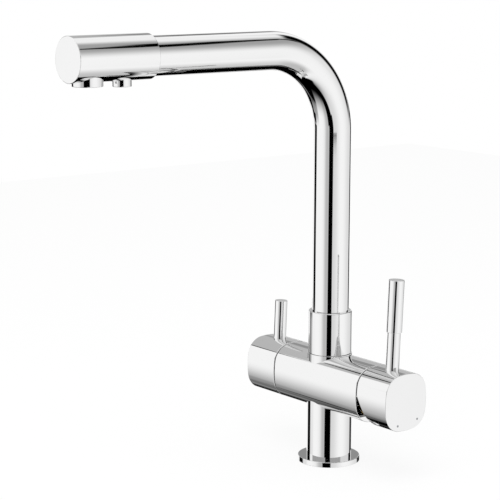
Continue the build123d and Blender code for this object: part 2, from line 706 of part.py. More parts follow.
def filter_headwork():
    """Brass quarter-turn valve insert: cup with windows, thread, hexagon and stem tube."""
    thread = HEADWORK_THREAD_D - 2 * SNUG
    body = bar(CUP_D, FILTER_FLOOR + CUP_START, HEADWORK_THREAD_START)
    body += bar(thread, HEADWORK_THREAD_START, FILTER_END)
    hexagon = RegularPolygon(HEX_AF / 2, 6, major_radius=False)
    body += Pos(FILTER_END, 0, 0) * extrude(Plane.YZ * hexagon, HEX_T)
    body += bar(STEM_TUBE_D, HEX_END, STEM_END)
    body -= bar(CUP_D - 2 * CUP_WALL, FILTER_FLOOR, DRIVE_END + LOOSE)
    body -= bar(FILTER_SPINDLE_D + 2 * FIT, DRIVE_END, STEM_END)
    half = WINDOW_W / 2
    span = (FILTER_ROTOR_END, HEADWORK_THREAD_START - LOOSE)
    return body - block(span, (-half, half), (-CUP_D, CUP_D)) - block(span, (-CUP_D, CUP_D), (-half, half))


def stem_ring_stations():
    """Distances along the axis of the two O-rings on the filter spindle."""
    return [HEADWORK_THREAD_START + INNER_STEM_RING, FILTER_END + OUTER_STEM_RING]


def ring_on_bar(diameter, depth, start, width):
    """Ring-shaped groove cut into a bar along X."""
    return sleeve(diameter + 2 * OVERCUT, diameter - 2 * depth, start, start + width)


def filter_spindle():
    """Spindle with a drive flange, two ring grooves and a circlip groove."""
    end = FILTER_BOSS_START + SOCKET_DEPTH - LOOSE
    spindle = bar(FILTER_SPINDLE_D, FILTER_ROTOR_END, end)
    spindle += bar(CUP_D - 2 * CUP_WALL - 2 * LOOSE, FILTER_ROTOR_END, DRIVE_END)
    spindle = chamfer(spindle.edges().group_by(Axis.X)[-1], EDGE)
    for station in stem_ring_stations():
        spindle -= ring_on_bar(FILTER_SPINDLE_D, STEM_RING_DEPTH, station, STEM_RING_W)
    return spindle - ring_on_bar(FILTER_SPINDLE_D, CIRCLIP_DEPTH, STEM_END + FIT, CIRCLIP_T)


def filter_stem_o_rings():
    """Two small O-rings in the spindle's grooves."""
    inner = FILTER_SPINDLE_D - 2 * STEM_RING_DEPTH + 2 * SNUG
    rings = [sleeve(FILTER_SPINDLE_D, inner, station + SNUG, station + STEM_RING_W - SNUG)
             for station in stem_ring_stations()]
    return Compound([ring.solid() for ring in rings])


def filter_circlip():
    """Open spring clip that keeps the spindle in the headwork."""
    inner = FILTER_SPINDLE_D - 2 * CIRCLIP_DEPTH + 2 * SNUG
    clip = sleeve(CIRCLIP_D, inner, STEM_END + FIT + SNUG, STEM_END + FIT + CIRCLIP_T - SNUG)
    half = CIRCLIP_GAP / 2
    return clip - block((STEM_END, STEM_END + 2 * CIRCLIP_T), (-half, half), (0, CIRCLIP_D))


# ---- Spout foot ----
def ring_groove(diameter, depth, middle, width):
    """Ring-shaped groove cut into an upright bar."""
    return pipe(diameter + 2 * OVERCUT, diameter - 2 * depth, middle - width / 2, middle + width / 2)


def spout_spigot():
    """Brass spigot that carries the spout, with mixed and filtered water holes."""
    spigot = post(SOCKET_D - 2 * SNUG, SOCKET_FLOOR, BOSS_TOP)
    spigot += post(SPIGOT_FLANGE_D, BOSS_TOP, SPIGOT_SHOULDER)
    spigot += post(SPIGOT_D, SPIGOT_SHOULDER, SPIGOT_TOP)
    for rise in (LOWER_RING_RISE, UPPER_RING_RISE):
        spigot -= ring_groove(SPIGOT_D, RING_DEPTH, SPIGOT_SHOULDER + rise, RING_WIDTH)
    spigot -= ring_groove(SPIGOT_D, LOCK_GROOVE_DEPTH, SPIGOT_SHOULDER + LOCK_GROOVE_RISE, LOCK_GROOVE_W)
    holes = [post(CENTRE_HOLE_D, SOCKET_FLOOR, SPIGOT_TOP)]
    holes.append(post(ADAPTER_D + 2 * FIT, SPIGOT_TOP - ADAPTER_L - LOOSE, SPIGOT_TOP))
    radius = MIXED_HOLE_CIRCLE_D / 2
    for turn in range(MIXED_HOLES):
        angle = 2 * math.pi * (turn + 0.5) / MIXED_HOLES
        place = (radius * math.cos(angle), radius * math.sin(angle))
        holes.append(post(MIXED_HOLE_D, SOCKET_FLOOR, SPIGOT_TOP, place))
    return cut_holes(spigot, holes)


def spigot_o_rings():
    """Two O-rings between the spigot and the collar."""
    rings = []
    for rise in (LOWER_RING_RISE, UPPER_RING_RISE):
        middle = SPIGOT_SHOULDER + rise
        half = RING_WIDTH / 2 - SNUG
        rings.append(pipe(SPIGOT_D, SPIGOT_D - 2 * RING_DEPTH + 2 * SNUG, middle - half, middle + half))
    return Compound([ring.solid() for ring in rings])


def glide_ring():
    """Plastic washer on which the spout turns."""
    return pipe(SPIGOT_FLANGE_D, SPIGOT_D + 4 * FIT, SPIGOT_SHOULDER, SPIGOT_SHOULDER + GLIDE_T)


def spout_collar():
    """Chrome collar that joins the spout tube to the spigot."""
    collar = post(COLLAR_D, COLLAR_BOTTOM, COLLAR_TOP)
    collar = fillet(collar.edges().group_by(Axis.Z)[-1], SOFT_EDGE)
    collar -= post(SPIGOT_FLANGE_D + 2 * LOOSE, COLLAR_BOTTOM, COLLAR_SHOULDER)
    collar -= post(SPIGOT_D + 2 * FIT, COLLAR_SHOULDER, TUBE_BOTTOM)
    collar -= post(TUBE_D + 2 * SNUG, TUBE_BOTTOM, COLLAR_TOP)
    return collar - lock_screw_bar(LOCK_SCREW_D + 2 * SNUG, SPIGOT_D / 2 - LOCK_TIP_L, COLLAR_D / 2)


def lock_screw_bar(diameter, start, end):
    """Bar that points out of the back of the collar, at the lock groove's height."""
    height = SPIGOT_SHOULDER + LOCK_GROOVE_RISE
    return Pos(0, 0, height) * Rot(0, 0, 90) * bar(diameter, start, end)


def spout_lock_screw():
    """Grub screw at the back of the collar whose tip runs in the spigot's groove."""
    outer = (COLLAR_D - LOOSE) / 2
    tip_start = SPIGOT_D / 2 - LOCK_TIP_L
    screw = lock_screw_bar(LOCK_SCREW_D, SPIGOT_D / 2 + LOOSE, outer)
    screw += lock_screw_bar(LOCK_TIP_D, tip_start, SPIGOT_D / 2 + LOOSE)
    return screw - lock_screw_bar(LOCK_KEY_D, outer - LOCK_KEY_DEPTH, outer)


def inner_tube_adapter():
    """Brass plug that carries filtered water from the spigot into the inner tube."""
    low = SPIGOT_TOP - ADAPTER_L
    flange = SPIGOT_TOP + LOOSE
    barb = INNER_TUBE_D - 2 * INNER_TUBE_WALL
    top = INNER_TUBE_BOTTOM + INNER_BARB_L
    adapter = post(ADAPTER_D, low, flange) + post(ADAPTER_FLANGE_D, flange, INNER_TUBE_BOTTOM)
    adapter += post(barb, INNER_TUBE_BOTTOM, top)
    adapter -= ring_groove(ADAPTER_D, ADAPTER_RING_DEPTH, low + ADAPTER_L / 2, ADAPTER_RING_W)
    return adapter - post(ADAPTER_BORE_D, low, top)


def adapter_o_ring():
    """O-ring round the plug in the spigot's centre hole."""
    middle = SPIGOT_TOP - ADAPTER_L / 2
    half = ADAPTER_RING_W / 2 - SNUG
    return pipe(ADAPTER_D, ADAPTER_D - 2 * ADAPTER_RING_DEPTH + 2 * SNUG, middle - half, middle + half)


# ---- Spout ----
def bent_bar(diameter, bottom, end):
    """Bar that rises on the column axis, bends towards the tip and runs level."""
    corner = SPOUT_Z - BEND_R
    rise = Line((0, bottom), (0, corner))
    bend = RadiusArc((0, corner), (-BEND_R, SPOUT_Z), -BEND_R)
    run = Line((-BEND_R, SPOUT_Z), (-end, SPOUT_Z))
    return sweep(Pos(0, 0, bottom) * Circle(diameter / 2), Plane.YZ * (rise + bend + run))


def spout_tube():
    """Bent chrome tube."""
    return bent_bar(TUBE_D, TUBE_BOTTOM, TUBE_END) - bent_bar(
        TUBE_D - 2 * TUBE_WALL, TUBE_BOTTOM, TUBE_END)


def inner_tube():
    """Thin plastic tube that keeps the filtered water apart as far as its own outlet."""
    return bent_bar(INNER_TUBE_D, INNER_TUBE_BOTTOM, INNER_TUBE_END) - bent_bar(
        INNER_TUBE_D - 2 * INNER_TUBE_WALL, INNER_TUBE_BOTTOM, INNER_TUBE_END)


# ---- Spout head, in the frame of the spout's axis ----
def spout_head():
    """Chrome sleeve with a closed tip and two outlet holes."""
    shell = bar(HEAD_D, HEAD_START, REACH)
    shell = fillet(shell.edges().group_by(Axis.X)[0], SOFT_EDGE)
    shell = fillet(shell.edges().group_by(Axis.X)[-1], EDGE)
    shell -= bar(HEAD_BORE_D, HEAD_START, REACH - TIP_WALL)
    low = -HEAD_D
    shell -= post(MAIN_OUTLET_D + 2 * SNUG, low, 0, (MAIN_OUTLET_X, 0))
    return SPOUT_LINE * (shell - post(FILTER_OUTLET_D + 2 * SNUG, low, 0, (FILTER_OUTLET_X, 0)))


def head_ring_stations():
    """Places of the two O-rings on the core's spigot."""
    return [CORE_START + HEAD_RING_LAND, TUBE_END - HEAD_RING_LAND - RING_WIDTH]


def head_core():
    """Plastic core that leads each kind of water to its own outlet."""
    core = bar(TUBE_D - 2 * SNUG, TUBE_END + SNUG, CORE_END)
    core += bar(CORE_SPIGOT_D, CORE_START, TUBE_END + SNUG)
    for station in head_ring_stations():
        core -= ring_on_bar(CORE_SPIGOT_D, RING_DEPTH, station, RING_WIDTH)
    holes = [bar(INNER_TUBE_D + 2 * FIT, CORE_START, INNER_TUBE_END + SNUG)]
    holes.append(bar(FILTER_WAY_D, INNER_TUBE_END, FILTER_OUTLET_X))
    holes.append(inner_tube_ring(SNUG))
    for angle in HEAD_CHANNEL_ANGLES:
        turn = math.radians(angle)
        place = (HEAD_CHANNEL_RISE * math.cos(turn), HEAD_CHANNEL_RISE * math.sin(turn))
        holes.append(bar(HEAD_CHANNEL_D, CORE_START, MAIN_OUTLET_X, place))
    low = -TUBE_D
    holes.append(post(MAIN_BORE_D, low, HEAD_CHANNEL_RISE, (MAIN_OUTLET_X, 0)))
    holes.append(post(MAIN_OUTLET_D + 2 * SNUG, low, WASHER_TOP, (MAIN_OUTLET_X, 0)))
    holes.append(post(FILTER_WAY_D, low, 0, (FILTER_OUTLET_X, 0)))
    holes.append(post(FILTER_OUTLET_D + 2 * SNUG, low, WASHER_TOP, (FILTER_OUTLET_X, 0)))
    return SPOUT_LINE * cut_holes(core, holes)


def head_o_rings():
    """Two O-rings between the core and the inside of the spout tube."""
    outer = TUBE_D - 2 * TUBE_WALL - 2 * SNUG
    inner = CORE_SPIGOT_D - 2 * RING_DEPTH + 2 * SNUG
    rings = [SPOUT_LINE * sleeve(outer, inner, station + SNUG, station + RING_WIDTH - SNUG)
             for station in head_ring_stations()]
    return Compound([ring.solid() for ring in rings])


def inner_tube_ring(gap):
    """O-ring round the end of the inner tube, larger by a gap outside."""
    start = INNER_TUBE_END - TUBE_RING_LAND - RING_WIDTH
    outer = INNER_TUBE_D + 2 * TUBE_RING_DEPTH + 2 * gap
    return sleeve(outer, INNER_TUBE_D + 2 * SNUG, start - gap, start + RING_WIDTH + gap)


def inner_tube_o_ring():
    """O-ring that seals the inner tube in the core."""
    return SPOUT_LINE * inner_tube_ring(0)


def outlet_washer(outer, x):
    """Flat rubber washer on top of an outlet."""
    return SPOUT_LINE * pipe(outer, outer - 2 * WASHER_WIDTH, OUTLET_ROOT + SNUG, WASHER_TOP, (x, 0))


def main_outlet():
    """Chrome outlet ring for mixed water, threaded for the aerator."""
    place = (MAIN_OUTLET_X, 0)
    ring = post(MAIN_OUTLET_D, MAIN_OUTLET_END, OUTLET_ROOT, place)
    ring = fillet(ring.edges().group_by(Axis.Z)[0], EDGE)
    seat = MAIN_OUTLET_END + AERATOR_RECESS + AERATOR_L
    ring -= post(AERATOR_D + 2 * SNUG, MAIN_OUTLET_END, seat, place)
    return SPOUT_LINE * (ring - post(MAIN_BORE_D, seat, OUTLET_ROOT, place))


def aerator():
    """Plastic aerator with a honeycomb face and a hollow chamber."""
    place = (MAIN_OUTLET_X, 0)
    low = MAIN_OUTLET_END + AERATOR_RECESS
    insert = post(AERATOR_D, low, low + AERATOR_L, place)
    face = low + AERATOR_L - AERATOR_CHAMBER_L
    inner = AERATOR_D - 2 * AERATOR_WALL
    insert -= post(inner, face, low + AERATOR_L, place)
    holes = [post(AERATOR_HOLE_D, low, face, (place[0] + x, y))
             for x, y in hex_grid(AERATOR_PITCH, (inner - AERATOR_HOLE_D) / 2)]
    return SPOUT_LINE * cut_holes(insert, holes)


def filter_outlet():
    """Small chrome nozzle for filtered water."""
    place = (FILTER_OUTLET_X, 0)
    nozzle = post(FILTER_OUTLET_D, FILTER_OUTLET_END, OUTLET_ROOT, place)
    nozzle = fillet(nozzle.edges().group_by(Axis.Z)[0], EDGE)
    seat = FILTER_OUTLET_END + AERATOR_RECESS + FILTER_INSERT_L
    nozzle -= post(FILTER_OUTLET_BORE_D, FILTER_OUTLET_END, seat, place)
    return SPOUT_LINE * (nozzle - post(FILTER_WAY_D, seat, OUTLET_ROOT, place))


def filter_outlet_insert():
    """Flow straightener in the filtered water nozzle."""
    low = FILTER_OUTLET_END + AERATOR_RECESS
    high = low + FILTER_INSERT_L
    insert = post(FILTER_OUTLET_BORE_D - 2 * SNUG, low, high, (FILTER_OUTLET_X, 0))
    limit = FILTER_OUTLET_BORE_D / 2 - FILTER_INSERT_HOLE_D
    holes = [post(FILTER_INSERT_HOLE_D, low, high, (FILTER_OUTLET_X + x, y))
             for x, y in hex_grid(FILTER_INSERT_PITCH, limit)]
    return SPOUT_LINE * cut_holes(insert, holes)


# ---- The whole tap ----
def base_and_body():
    """Pieces that stay still."""
    return {
        "base_flange": base_flange(),
        "base_seal": base_seal(),
        "column": column(),
        "valve_body": valve_body(),
        "cartridge_base": MIXER_SIDE * cartridge_base(),
        "cartridge_port_seals": MIXER_SIDE * cartridge_port_seals(),
        "cartridge_fixed_disc": MIXER_SIDE * cartridge_fixed_disc(),
        "cartridge_housing": MIXER_SIDE * cartridge_housing(),
        "cartridge_nut": MIXER_SIDE * cartridge_nut(),
        "mixer_cover": MIXER_SIDE * mixer_cover(),
        "filter_seat_seal": FILTER_SIDE * filter_seat_seal(),
        "filter_fixed_disc": FILTER_SIDE * filter_fixed_disc(),
        "filter_headwork": FILTER_SIDE * filter_headwork(),
        "spout_spigot": spout_spigot(),
        "spigot_o_rings": spigot_o_rings(),
        "glide_ring": glide_ring(),
    }


def mixer_control():
    """Pieces that move with the mixer lever."""
    return {
        "lever_holder": MIXER_SIDE * lever_holder(),
        "lever_pin": MIXER_SIDE * lever_pin(),
        "cartridge_moving_disc": MIXER_SIDE * cartridge_moving_disc(),
        "disc_carrier": MIXER_SIDE * disc_carrier(),
        "mixer_spindle": MIXER_SIDE * mixer_spindle(),
        "mixer_handle": mixer_handle(),
        "mixer_lever_rod": mixer_lever_rod(),
        "mixer_lever_grip": mixer_lever_grip(),
        "mixer_grub_screw": MIXER_SIDE * grub_screw(MIXER_BOSS_START, SPINDLE_W / 2),
        "mixer_screw_plug": MIXER_SIDE * screw_plug(MIXER_BOSS_START),
        "hot_index_dot": index_dot(-1, 0),
        "cold_index_dot": index_dot(1, 0),
    }


def filter_control():
    """Pieces that turn with the filtered water lever."""
    return {
        "filter_moving_disc": FILTER_SIDE * filter_moving_disc(),
        "filter_spindle": FILTER_SIDE * filter_spindle(),
        "filter_stem_o_rings": FILTER_SIDE * filter_stem_o_rings(),
        "filter_circlip": FILTER_SIDE * filter_circlip(),
        "filter_handle": filter_handle(),
        "filter_lever_rod": lever_rod(-FILTER_ROD_X, FILTER_LEVER_TOP, FILTER_LEVER_TOP),
        "filter_grub_screw": FILTER_SIDE * grub_screw(FILTER_BOSS_START, FILTER_SPINDLE_D / 2),
        "filter_screw_plug": FILTER_SIDE * screw_plug(FILTER_BOSS_START),
    }


def spout():
    """Pieces that swivel with the spout."""
    return {
        "spout_collar": spout_collar(),
        "spout_lock_screw": spout_lock_screw(),
        "inner_tube_adapter": inner_tube_adapter(),
        "adapter_o_ring": adapter_o_ring(),
        "inner_tube": inner_tube(),
        "spout_tube": spout_tube(),
        "spout_head": spout_head(),
        "head_core": head_core(),
        "head_o_rings": head_o_rings(),
        "inner_tube_o_ring": inner_tube_o_ring(),
        "main_outlet": main_outlet(),
        "aerator": aerator(),
        "aerator_washer": outlet_washer(AERATOR_D, MAIN_OUTLET_X),
        "filter_outlet": filter_outlet(),
        "filter_outlet_insert": filter_outlet_insert(),
        "filter_outlet_washer": outlet_washer(FILTER_OUTLET_BORE_D, FILTER_OUTLET_X),
    }


def main():
    """Build every piece and write one STEP file for each."""
    os.makedirs("parts", exist_ok=True)
    pieces = {**base_and_body(), **mixer_control(), **filter_control(), **spout()}
    for name, shape in pieces.items():
        export_step(shape, f"parts/{name}.step")


main()
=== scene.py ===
"""Looks of a three way filtered water tap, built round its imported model.

Lengths are in metres in the model's own frame: +Z up from the deck, the column on the Z axis, the
spout towards -Y, the mixer lever on the +X side and the filtered water lever on the -X side.
"""

from __future__ import annotations

import json
import logging
import math
from dataclasses import dataclass
from enum import Enum

import bpy
import numpy as np
from mathutils import Matrix, Vector

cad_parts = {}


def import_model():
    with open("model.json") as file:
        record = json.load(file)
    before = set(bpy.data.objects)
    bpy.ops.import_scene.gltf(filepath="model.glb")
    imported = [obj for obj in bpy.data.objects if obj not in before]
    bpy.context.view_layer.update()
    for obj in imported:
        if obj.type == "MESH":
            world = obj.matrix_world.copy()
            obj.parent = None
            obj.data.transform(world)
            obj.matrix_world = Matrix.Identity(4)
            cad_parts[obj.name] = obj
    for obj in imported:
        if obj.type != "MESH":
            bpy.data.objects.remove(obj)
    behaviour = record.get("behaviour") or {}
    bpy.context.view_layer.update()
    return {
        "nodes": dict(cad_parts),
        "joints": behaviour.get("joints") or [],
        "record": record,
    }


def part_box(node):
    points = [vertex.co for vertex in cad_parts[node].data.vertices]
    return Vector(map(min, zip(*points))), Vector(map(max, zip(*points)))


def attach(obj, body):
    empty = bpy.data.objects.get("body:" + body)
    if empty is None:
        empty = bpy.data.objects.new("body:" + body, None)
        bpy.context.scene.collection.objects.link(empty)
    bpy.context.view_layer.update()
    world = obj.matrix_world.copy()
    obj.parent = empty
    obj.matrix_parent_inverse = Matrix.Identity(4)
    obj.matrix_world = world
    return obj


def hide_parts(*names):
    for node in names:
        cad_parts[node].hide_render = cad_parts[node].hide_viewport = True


LOG = logging.getLogger("tap")
MM = 0.001
TURNED_SIDES = 192       # facets round every turned piece
SMALL_SIDES = 48         # facets round a screw, a plug, a mark or a drill
ARC_STEPS = 6            # steps on a rounded edge
OUTLINE_STEPS = (6, 28)  # steps on half a side and on a corner of the barrel's outline
FIT = 0.03 * MM          # gap between a piece and what sits in it
SUNK = 0.3 * MM          # how far the column and the boss reach into the barrel

Sample = tuple[np.ndarray, np.ndarray]
Inputs = dict[str | int, object]
Tree = bpy.types.NodeTree
Socket = bpy.types.NodeSocket


# ---- Helpers ----
def add_node(tree: Tree, kind: str, inputs: Inputs | None = None,
             **settings: object) -> bpy.types.Node:
    """Add a node with its settings and links.

    Args:
        tree: The tree that gets the node.
        kind: The node's type name.
        inputs: A value or a socket to link for each input, by name or number.
        settings: The node's own properties.

    Returns:
        The new node.
    """
    node = tree.nodes.new(kind)
    for key, value in settings.items():
        setattr(node, key, value)
    for key, value in (inputs or {}).items():
        if isinstance(value, Socket):
            tree.links.new(value, node.inputs[key])
        else:
            node.inputs[key].default_value = value
    return node


def calc(tree: Tree, operation: str, *values: float | Socket) -> Socket:
    """Add a math node for one operation and return its result."""
    return add_node(tree, "ShaderNodeMath", dict(enumerate(values)), operation=operation).outputs[0]


def linear(hex_colour: str) -> tuple[float, float, float, float]:
    """Turn an sRGB hex colour into linear light.

    Args:
        hex_colour: Six digits after a hash sign.

    Returns:
        Red, green, blue and alpha.
    """
    channels = [int(hex_colour[start:start + 2], 16) / 255 for start in (1, 3, 5)]
    red, green, blue = (c / 12.92 if c <= 0.04045 else ((c + 0.055) / 1.055) ** 2.4 for c in channels)
    return red, green, blue, 1.0


def span(node: str, axis: int) -> tuple[float, float]:
    """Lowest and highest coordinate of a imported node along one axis."""
    low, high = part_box(node)
    return low[axis], high[axis]


def middle(node: str, axis: int) -> float:
    """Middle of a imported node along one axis."""
    return sum(span(node, axis)) / 2


def half_span(node: str, axis: int) -> float:
    """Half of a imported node's extent along one axis."""
    low, high = span(node, axis)
    return (high - low) / 2


def unit(vector: np.ndarray) -> np.ndarray:
    """A vector of the same direction and length one."""
    return vector / np.linalg.norm(vector)


# ---- Surfaces with exact normals ----
class Skin:
    """Closed surface made of rings of points, with an exact normal at every face corner."""

    def __init__(self) -> None:
        """Start with no rings."""
        self.points: list[np.ndarray] = []
        self.faces: list[list[int]] = []
        self.normals: list[np.ndarray] = []
        self.count = 0

    def ring(self, points: np.ndarray) -> np.ndarray:
        """Add a ring of points and return their numbers."""
        first = self.count
        self.points.append(points)
        self.count += len(points)
        return np.arange(first, self.count)

    def strip(self, low: np.ndarray, high: np.ndarray, low_normals: np.ndarray,
              high_normals: np.ndarray) -> None:
        """Join two rings with a band of faces that points the way its normals do.

        Args:
            low: Point numbers of the first ring.
            high: Point numbers of the second ring.
            low_normals: The band's normals along the first ring.
            high_normals: The band's normals along the second ring.
        """
        quads = np.stack([low, np.roll(low, -1), np.roll(high, -1), high], axis=1)
        corners = np.stack([low_normals, np.roll(low_normals, -1, axis=0),
                            np.roll(high_normals, -1, axis=0), high_normals], axis=1)
        places = np.concatenate(self.points)[quads]
        facing = np.cross(places[:, 2] - places[:, 0], places[:, 3] - places[:, 1])
        if np.einsum("ij,ij->", facing, corners.sum(axis=1)) < 0:
            quads, corners = quads[:, ::-1], corners[:, ::-1]
        self.faces += quads.tolist()
        self.normals.append(corners.reshape(-1, 3))

    def lid(self, ring: np.ndarray, normal: np.ndarray) -> None:
        """Close a ring with one flat face.

        Args:
            ring: Point numbers of the ring.
            normal: Direction in which the lid faces.
        """
        places = np.concatenate(self.points)[ring]
        facing = np.cross(places, np.roll(places, -1, axis=0)).sum(axis=0)
        order = ring if facing @ normal > 0 else ring[::-1]
        self.faces.append(order.tolist())
        self.normals.append(np.tile(normal, (len(ring), 1)))

    def piece(self, name: str) -> bpy.types.Object:
        """Make the object.

        Args:
            name: The piece's name.

        Returns:
            A mesh object at the origin.
        """
        mesh = bpy.data.meshes.new(name)
        mesh.from_pydata(np.concatenate(self.points).tolist(), [], self.faces, shade_flat=False)
        mesh.normals_split_custom_set(np.concatenate(self.normals).tolist())
        piece = bpy.data.objects.new(name, mesh)
        bpy.context.scene.collection.objects.link(piece)
        return piece


class Lathe:
    """Turns profiles about the Z axis of a placed frame.

    A profile is followed with the metal on its left, in a plane with the radius across and the
    height up.
    """

    def __init__(self, skin: Skin, place: Matrix, sides: int = TURNED_SIDES) -> None:
        """Start a lathe.

        Args:
            skin: The surface that gets the faces.
            place: Where the lathe's own frame lies in the model.
            sides: Number of facets round the axis.
        """
        self.skin = skin
        self.turn = np.array(place.to_3x3())
        self.move = np.array(place.translation)
        angles = np.arange(sides) * (2 * math.pi / sides)
        self.round = np.stack([np.cos(angles), np.sin(angles)], axis=1)
        self.rings: dict[tuple[float, float], np.ndarray] = {}

    def ring(self, spot: np.ndarray) -> np.ndarray:
        """Ring at a radius and height, made once for each spot."""
        key = (round(float(spot[0]), 8), round(float(spot[1]), 8))
        if key not in self.rings:
            self.rings[key] = self.skin.ring(self.sweep(spot) + self.move)
        return self.rings[key]

    def sweep(self, spot: np.ndarray) -> np.ndarray:
        """A profile vector at every angle, turned into the model's directions."""
        local = np.column_stack([self.round * spot[0], np.full(len(self.round), spot[1])])
        return local @ self.turn.T

    def run(self, samples: list[Sample]) -> None:
        """Turn one smooth stretch of profile, given as places with their normals."""
        for (spot, normal), (next_spot, next_normal) in zip(samples, samples[1:]):
            if spot[0] == 0 or next_spot[0] == 0:
                rim = next_spot if spot[0] == 0 else spot
                self.skin.lid(self.ring(rim), self.sweep(normal)[0])
            else:
                self.skin.strip(self.ring(spot), self.ring(next_spot),
                                self.sweep(normal), self.sweep(next_normal))

    def straight(self, start: np.ndarray, end: np.ndarray) -> None:
        """Turn one straight stretch of profile."""
        along = unit(end - start)
        normal = np.array([along[1], -along[0]])
        self.run([(start, normal), (end, normal)])

    def profile(self, corners: list[tuple[float, ...]], closed: bool = True) -> None:
        """Turn a profile of straight lines with rounded corners.

        Args:
            corners: Radius, height and, where the corner is rounded, its rounding.
            closed: Whether the last corner joins the first. An open profile starts and ends on
                the axis.
        """
        bends = [self.bend(corners, number, closed) for number in range(len(corners))]
        pairs = list(zip(bends, bends[1:] + bends[:1]))
        for here, after in pairs if closed else pairs[:-1]:
            if len(here) > 1:
                self.run(here)
            self.straight(here[-1][0], after[0][0])

    @staticmethod
    def bend(corners: list[tuple[float, ...]], number: int, closed: bool) -> list[Sample]:
        """Places and normals round one corner of a profile.

        Args:
            corners: The whole profile.
            number: Which corner is wanted.
            closed: Whether the profile is closed.

        Returns:
            The arc's samples, or the bare corner with no normal of its own.
        """
        radius, height, *rest = corners[number]
        here = np.array([radius, height])
        if not rest or (not closed and number in (0, len(corners) - 1)):
            return [(here, np.zeros(2))]
        back = unit(np.array(corners[number - 1][:2]) - here)
        ahead = unit(np.array(corners[(number + 1) % len(corners)][:2]) - here)
        half = math.acos(float(np.clip(back @ ahead, -1, 1))) / 2
        centre = here + unit(back + ahead) * rest[0] / math.sin(half)
        start = here + back * rest[0] / math.tan(half) - centre
        sign = 1 if back[1] * ahead[0] - back[0] * ahead[1] > 0 else -1
        samples = []
        for step in range(ARC_STEPS + 1):
            angle = sign * (math.pi - 2 * half) * step / ARC_STEPS
            cos, sin = math.cos(angle), math.sin(angle)
            arm = np.array([cos * start[0] - sin * start[1], sin * start[0] + cos * start[1]])
            samples.append((centre + arm, sign * arm / rest[0]))
        return samples

    def dome(self, height: float, radius: float, start: float, end: float) -> None:
        """Turn a stretch of a sphere centred on the axis.

        Args:
            height: The centre's height.
            radius: The sphere's radius.
            start: Angle from the axis where the stretch starts.
            end: Angle from the axis where it ends.
        """
        samples = []
        for angle in np.linspace(start, end, 4 * ARC_STEPS):
            normal = np.array([math.sin(angle), math.cos(angle)])
            samples.append((np.array([0, height]) + radius * normal, normal))
        self.run(samples)


@dataclass(frozen=True)
class Outline:
    """Rounded square of four bulging sides and four corner arcs, all tangent."""

    half_width: float
    half_height: float
    bulge: float = 62 * MM
    corner: float = 14.5 * MM

    def corner_centre(self) -> np.ndarray:
        """Centre of the arc in the corner where both coordinates are positive."""
        top = np.array([0, self.half_height - self.bulge])
        side = np.array([self.half_width - self.bulge, 0])
        across = side - top
        reach = math.sqrt((self.bulge - self.corner) ** 2 - across @ across / 4)
        return (top + side) / 2 + reach * unit(np.array([-across[1], across[0]])) * np.sign(-across[1])

    def ring(self) -> tuple[np.ndarray, np.ndarray]:
        """Points and normals once round the outline.

        Returns:
            Two arrays with a row for each point.
        """
        centre = self.corner_centre()
        first = math.atan2(centre[1], centre[0] + self.bulge - self.half_width)
        second = math.atan2(centre[1] + self.bulge - self.half_height, centre[0])
        side, corner = OUTLINE_STEPS
        quarter = np.concatenate([
            np.linspace(0, first, side, endpoint=False),
            np.linspace(first, second, corner, endpoint=False),
            np.linspace(second, math.pi / 2, side, endpoint=False),
        ])
        normals = np.stack([np.cos(quarter), np.sin(quarter)], axis=1)
        centres = np.repeat([[self.half_width - self.bulge, 0], centre, [0, self.half_height - self.bulge]],
                            [side, corner, side], axis=0)
        radii = np.repeat([self.bulge, self.corner, self.bulge], [side, corner, side])[:, None]
        points = centres + radii * normals
        axis = np.array([[0.0, self.half_height]])
        up = np.array([[0.0, 1.0]])
        half_points = np.concatenate([points, axis, (points * [-1, 1])[:0:-1]])
        half_normals = np.concatenate([normals, up, (normals * [-1, 1])[:0:-1]])
        return (np.concatenate([half_points, -half_points]), np.concatenate([half_normals, -half_normals]))

    def rise(self, across: np.ndarray) -> np.ndarray:
        """Half height of the outline at distances from its upright axis."""
        centre = self.corner_centre()
        top = np.sqrt(self.bulge ** 2 - across ** 2) + self.half_height - self.bulge
        aside = np.clip(np.abs(across) - centre[0], 0, self.corner)
        corner = centre[1] + np.sqrt(self.corner ** 2 - aside ** 2)
        edge = centre[0] * self.bulge / (self.bulge - self.corner)
        return np.where(np.abs(across) < edge, top, corner)


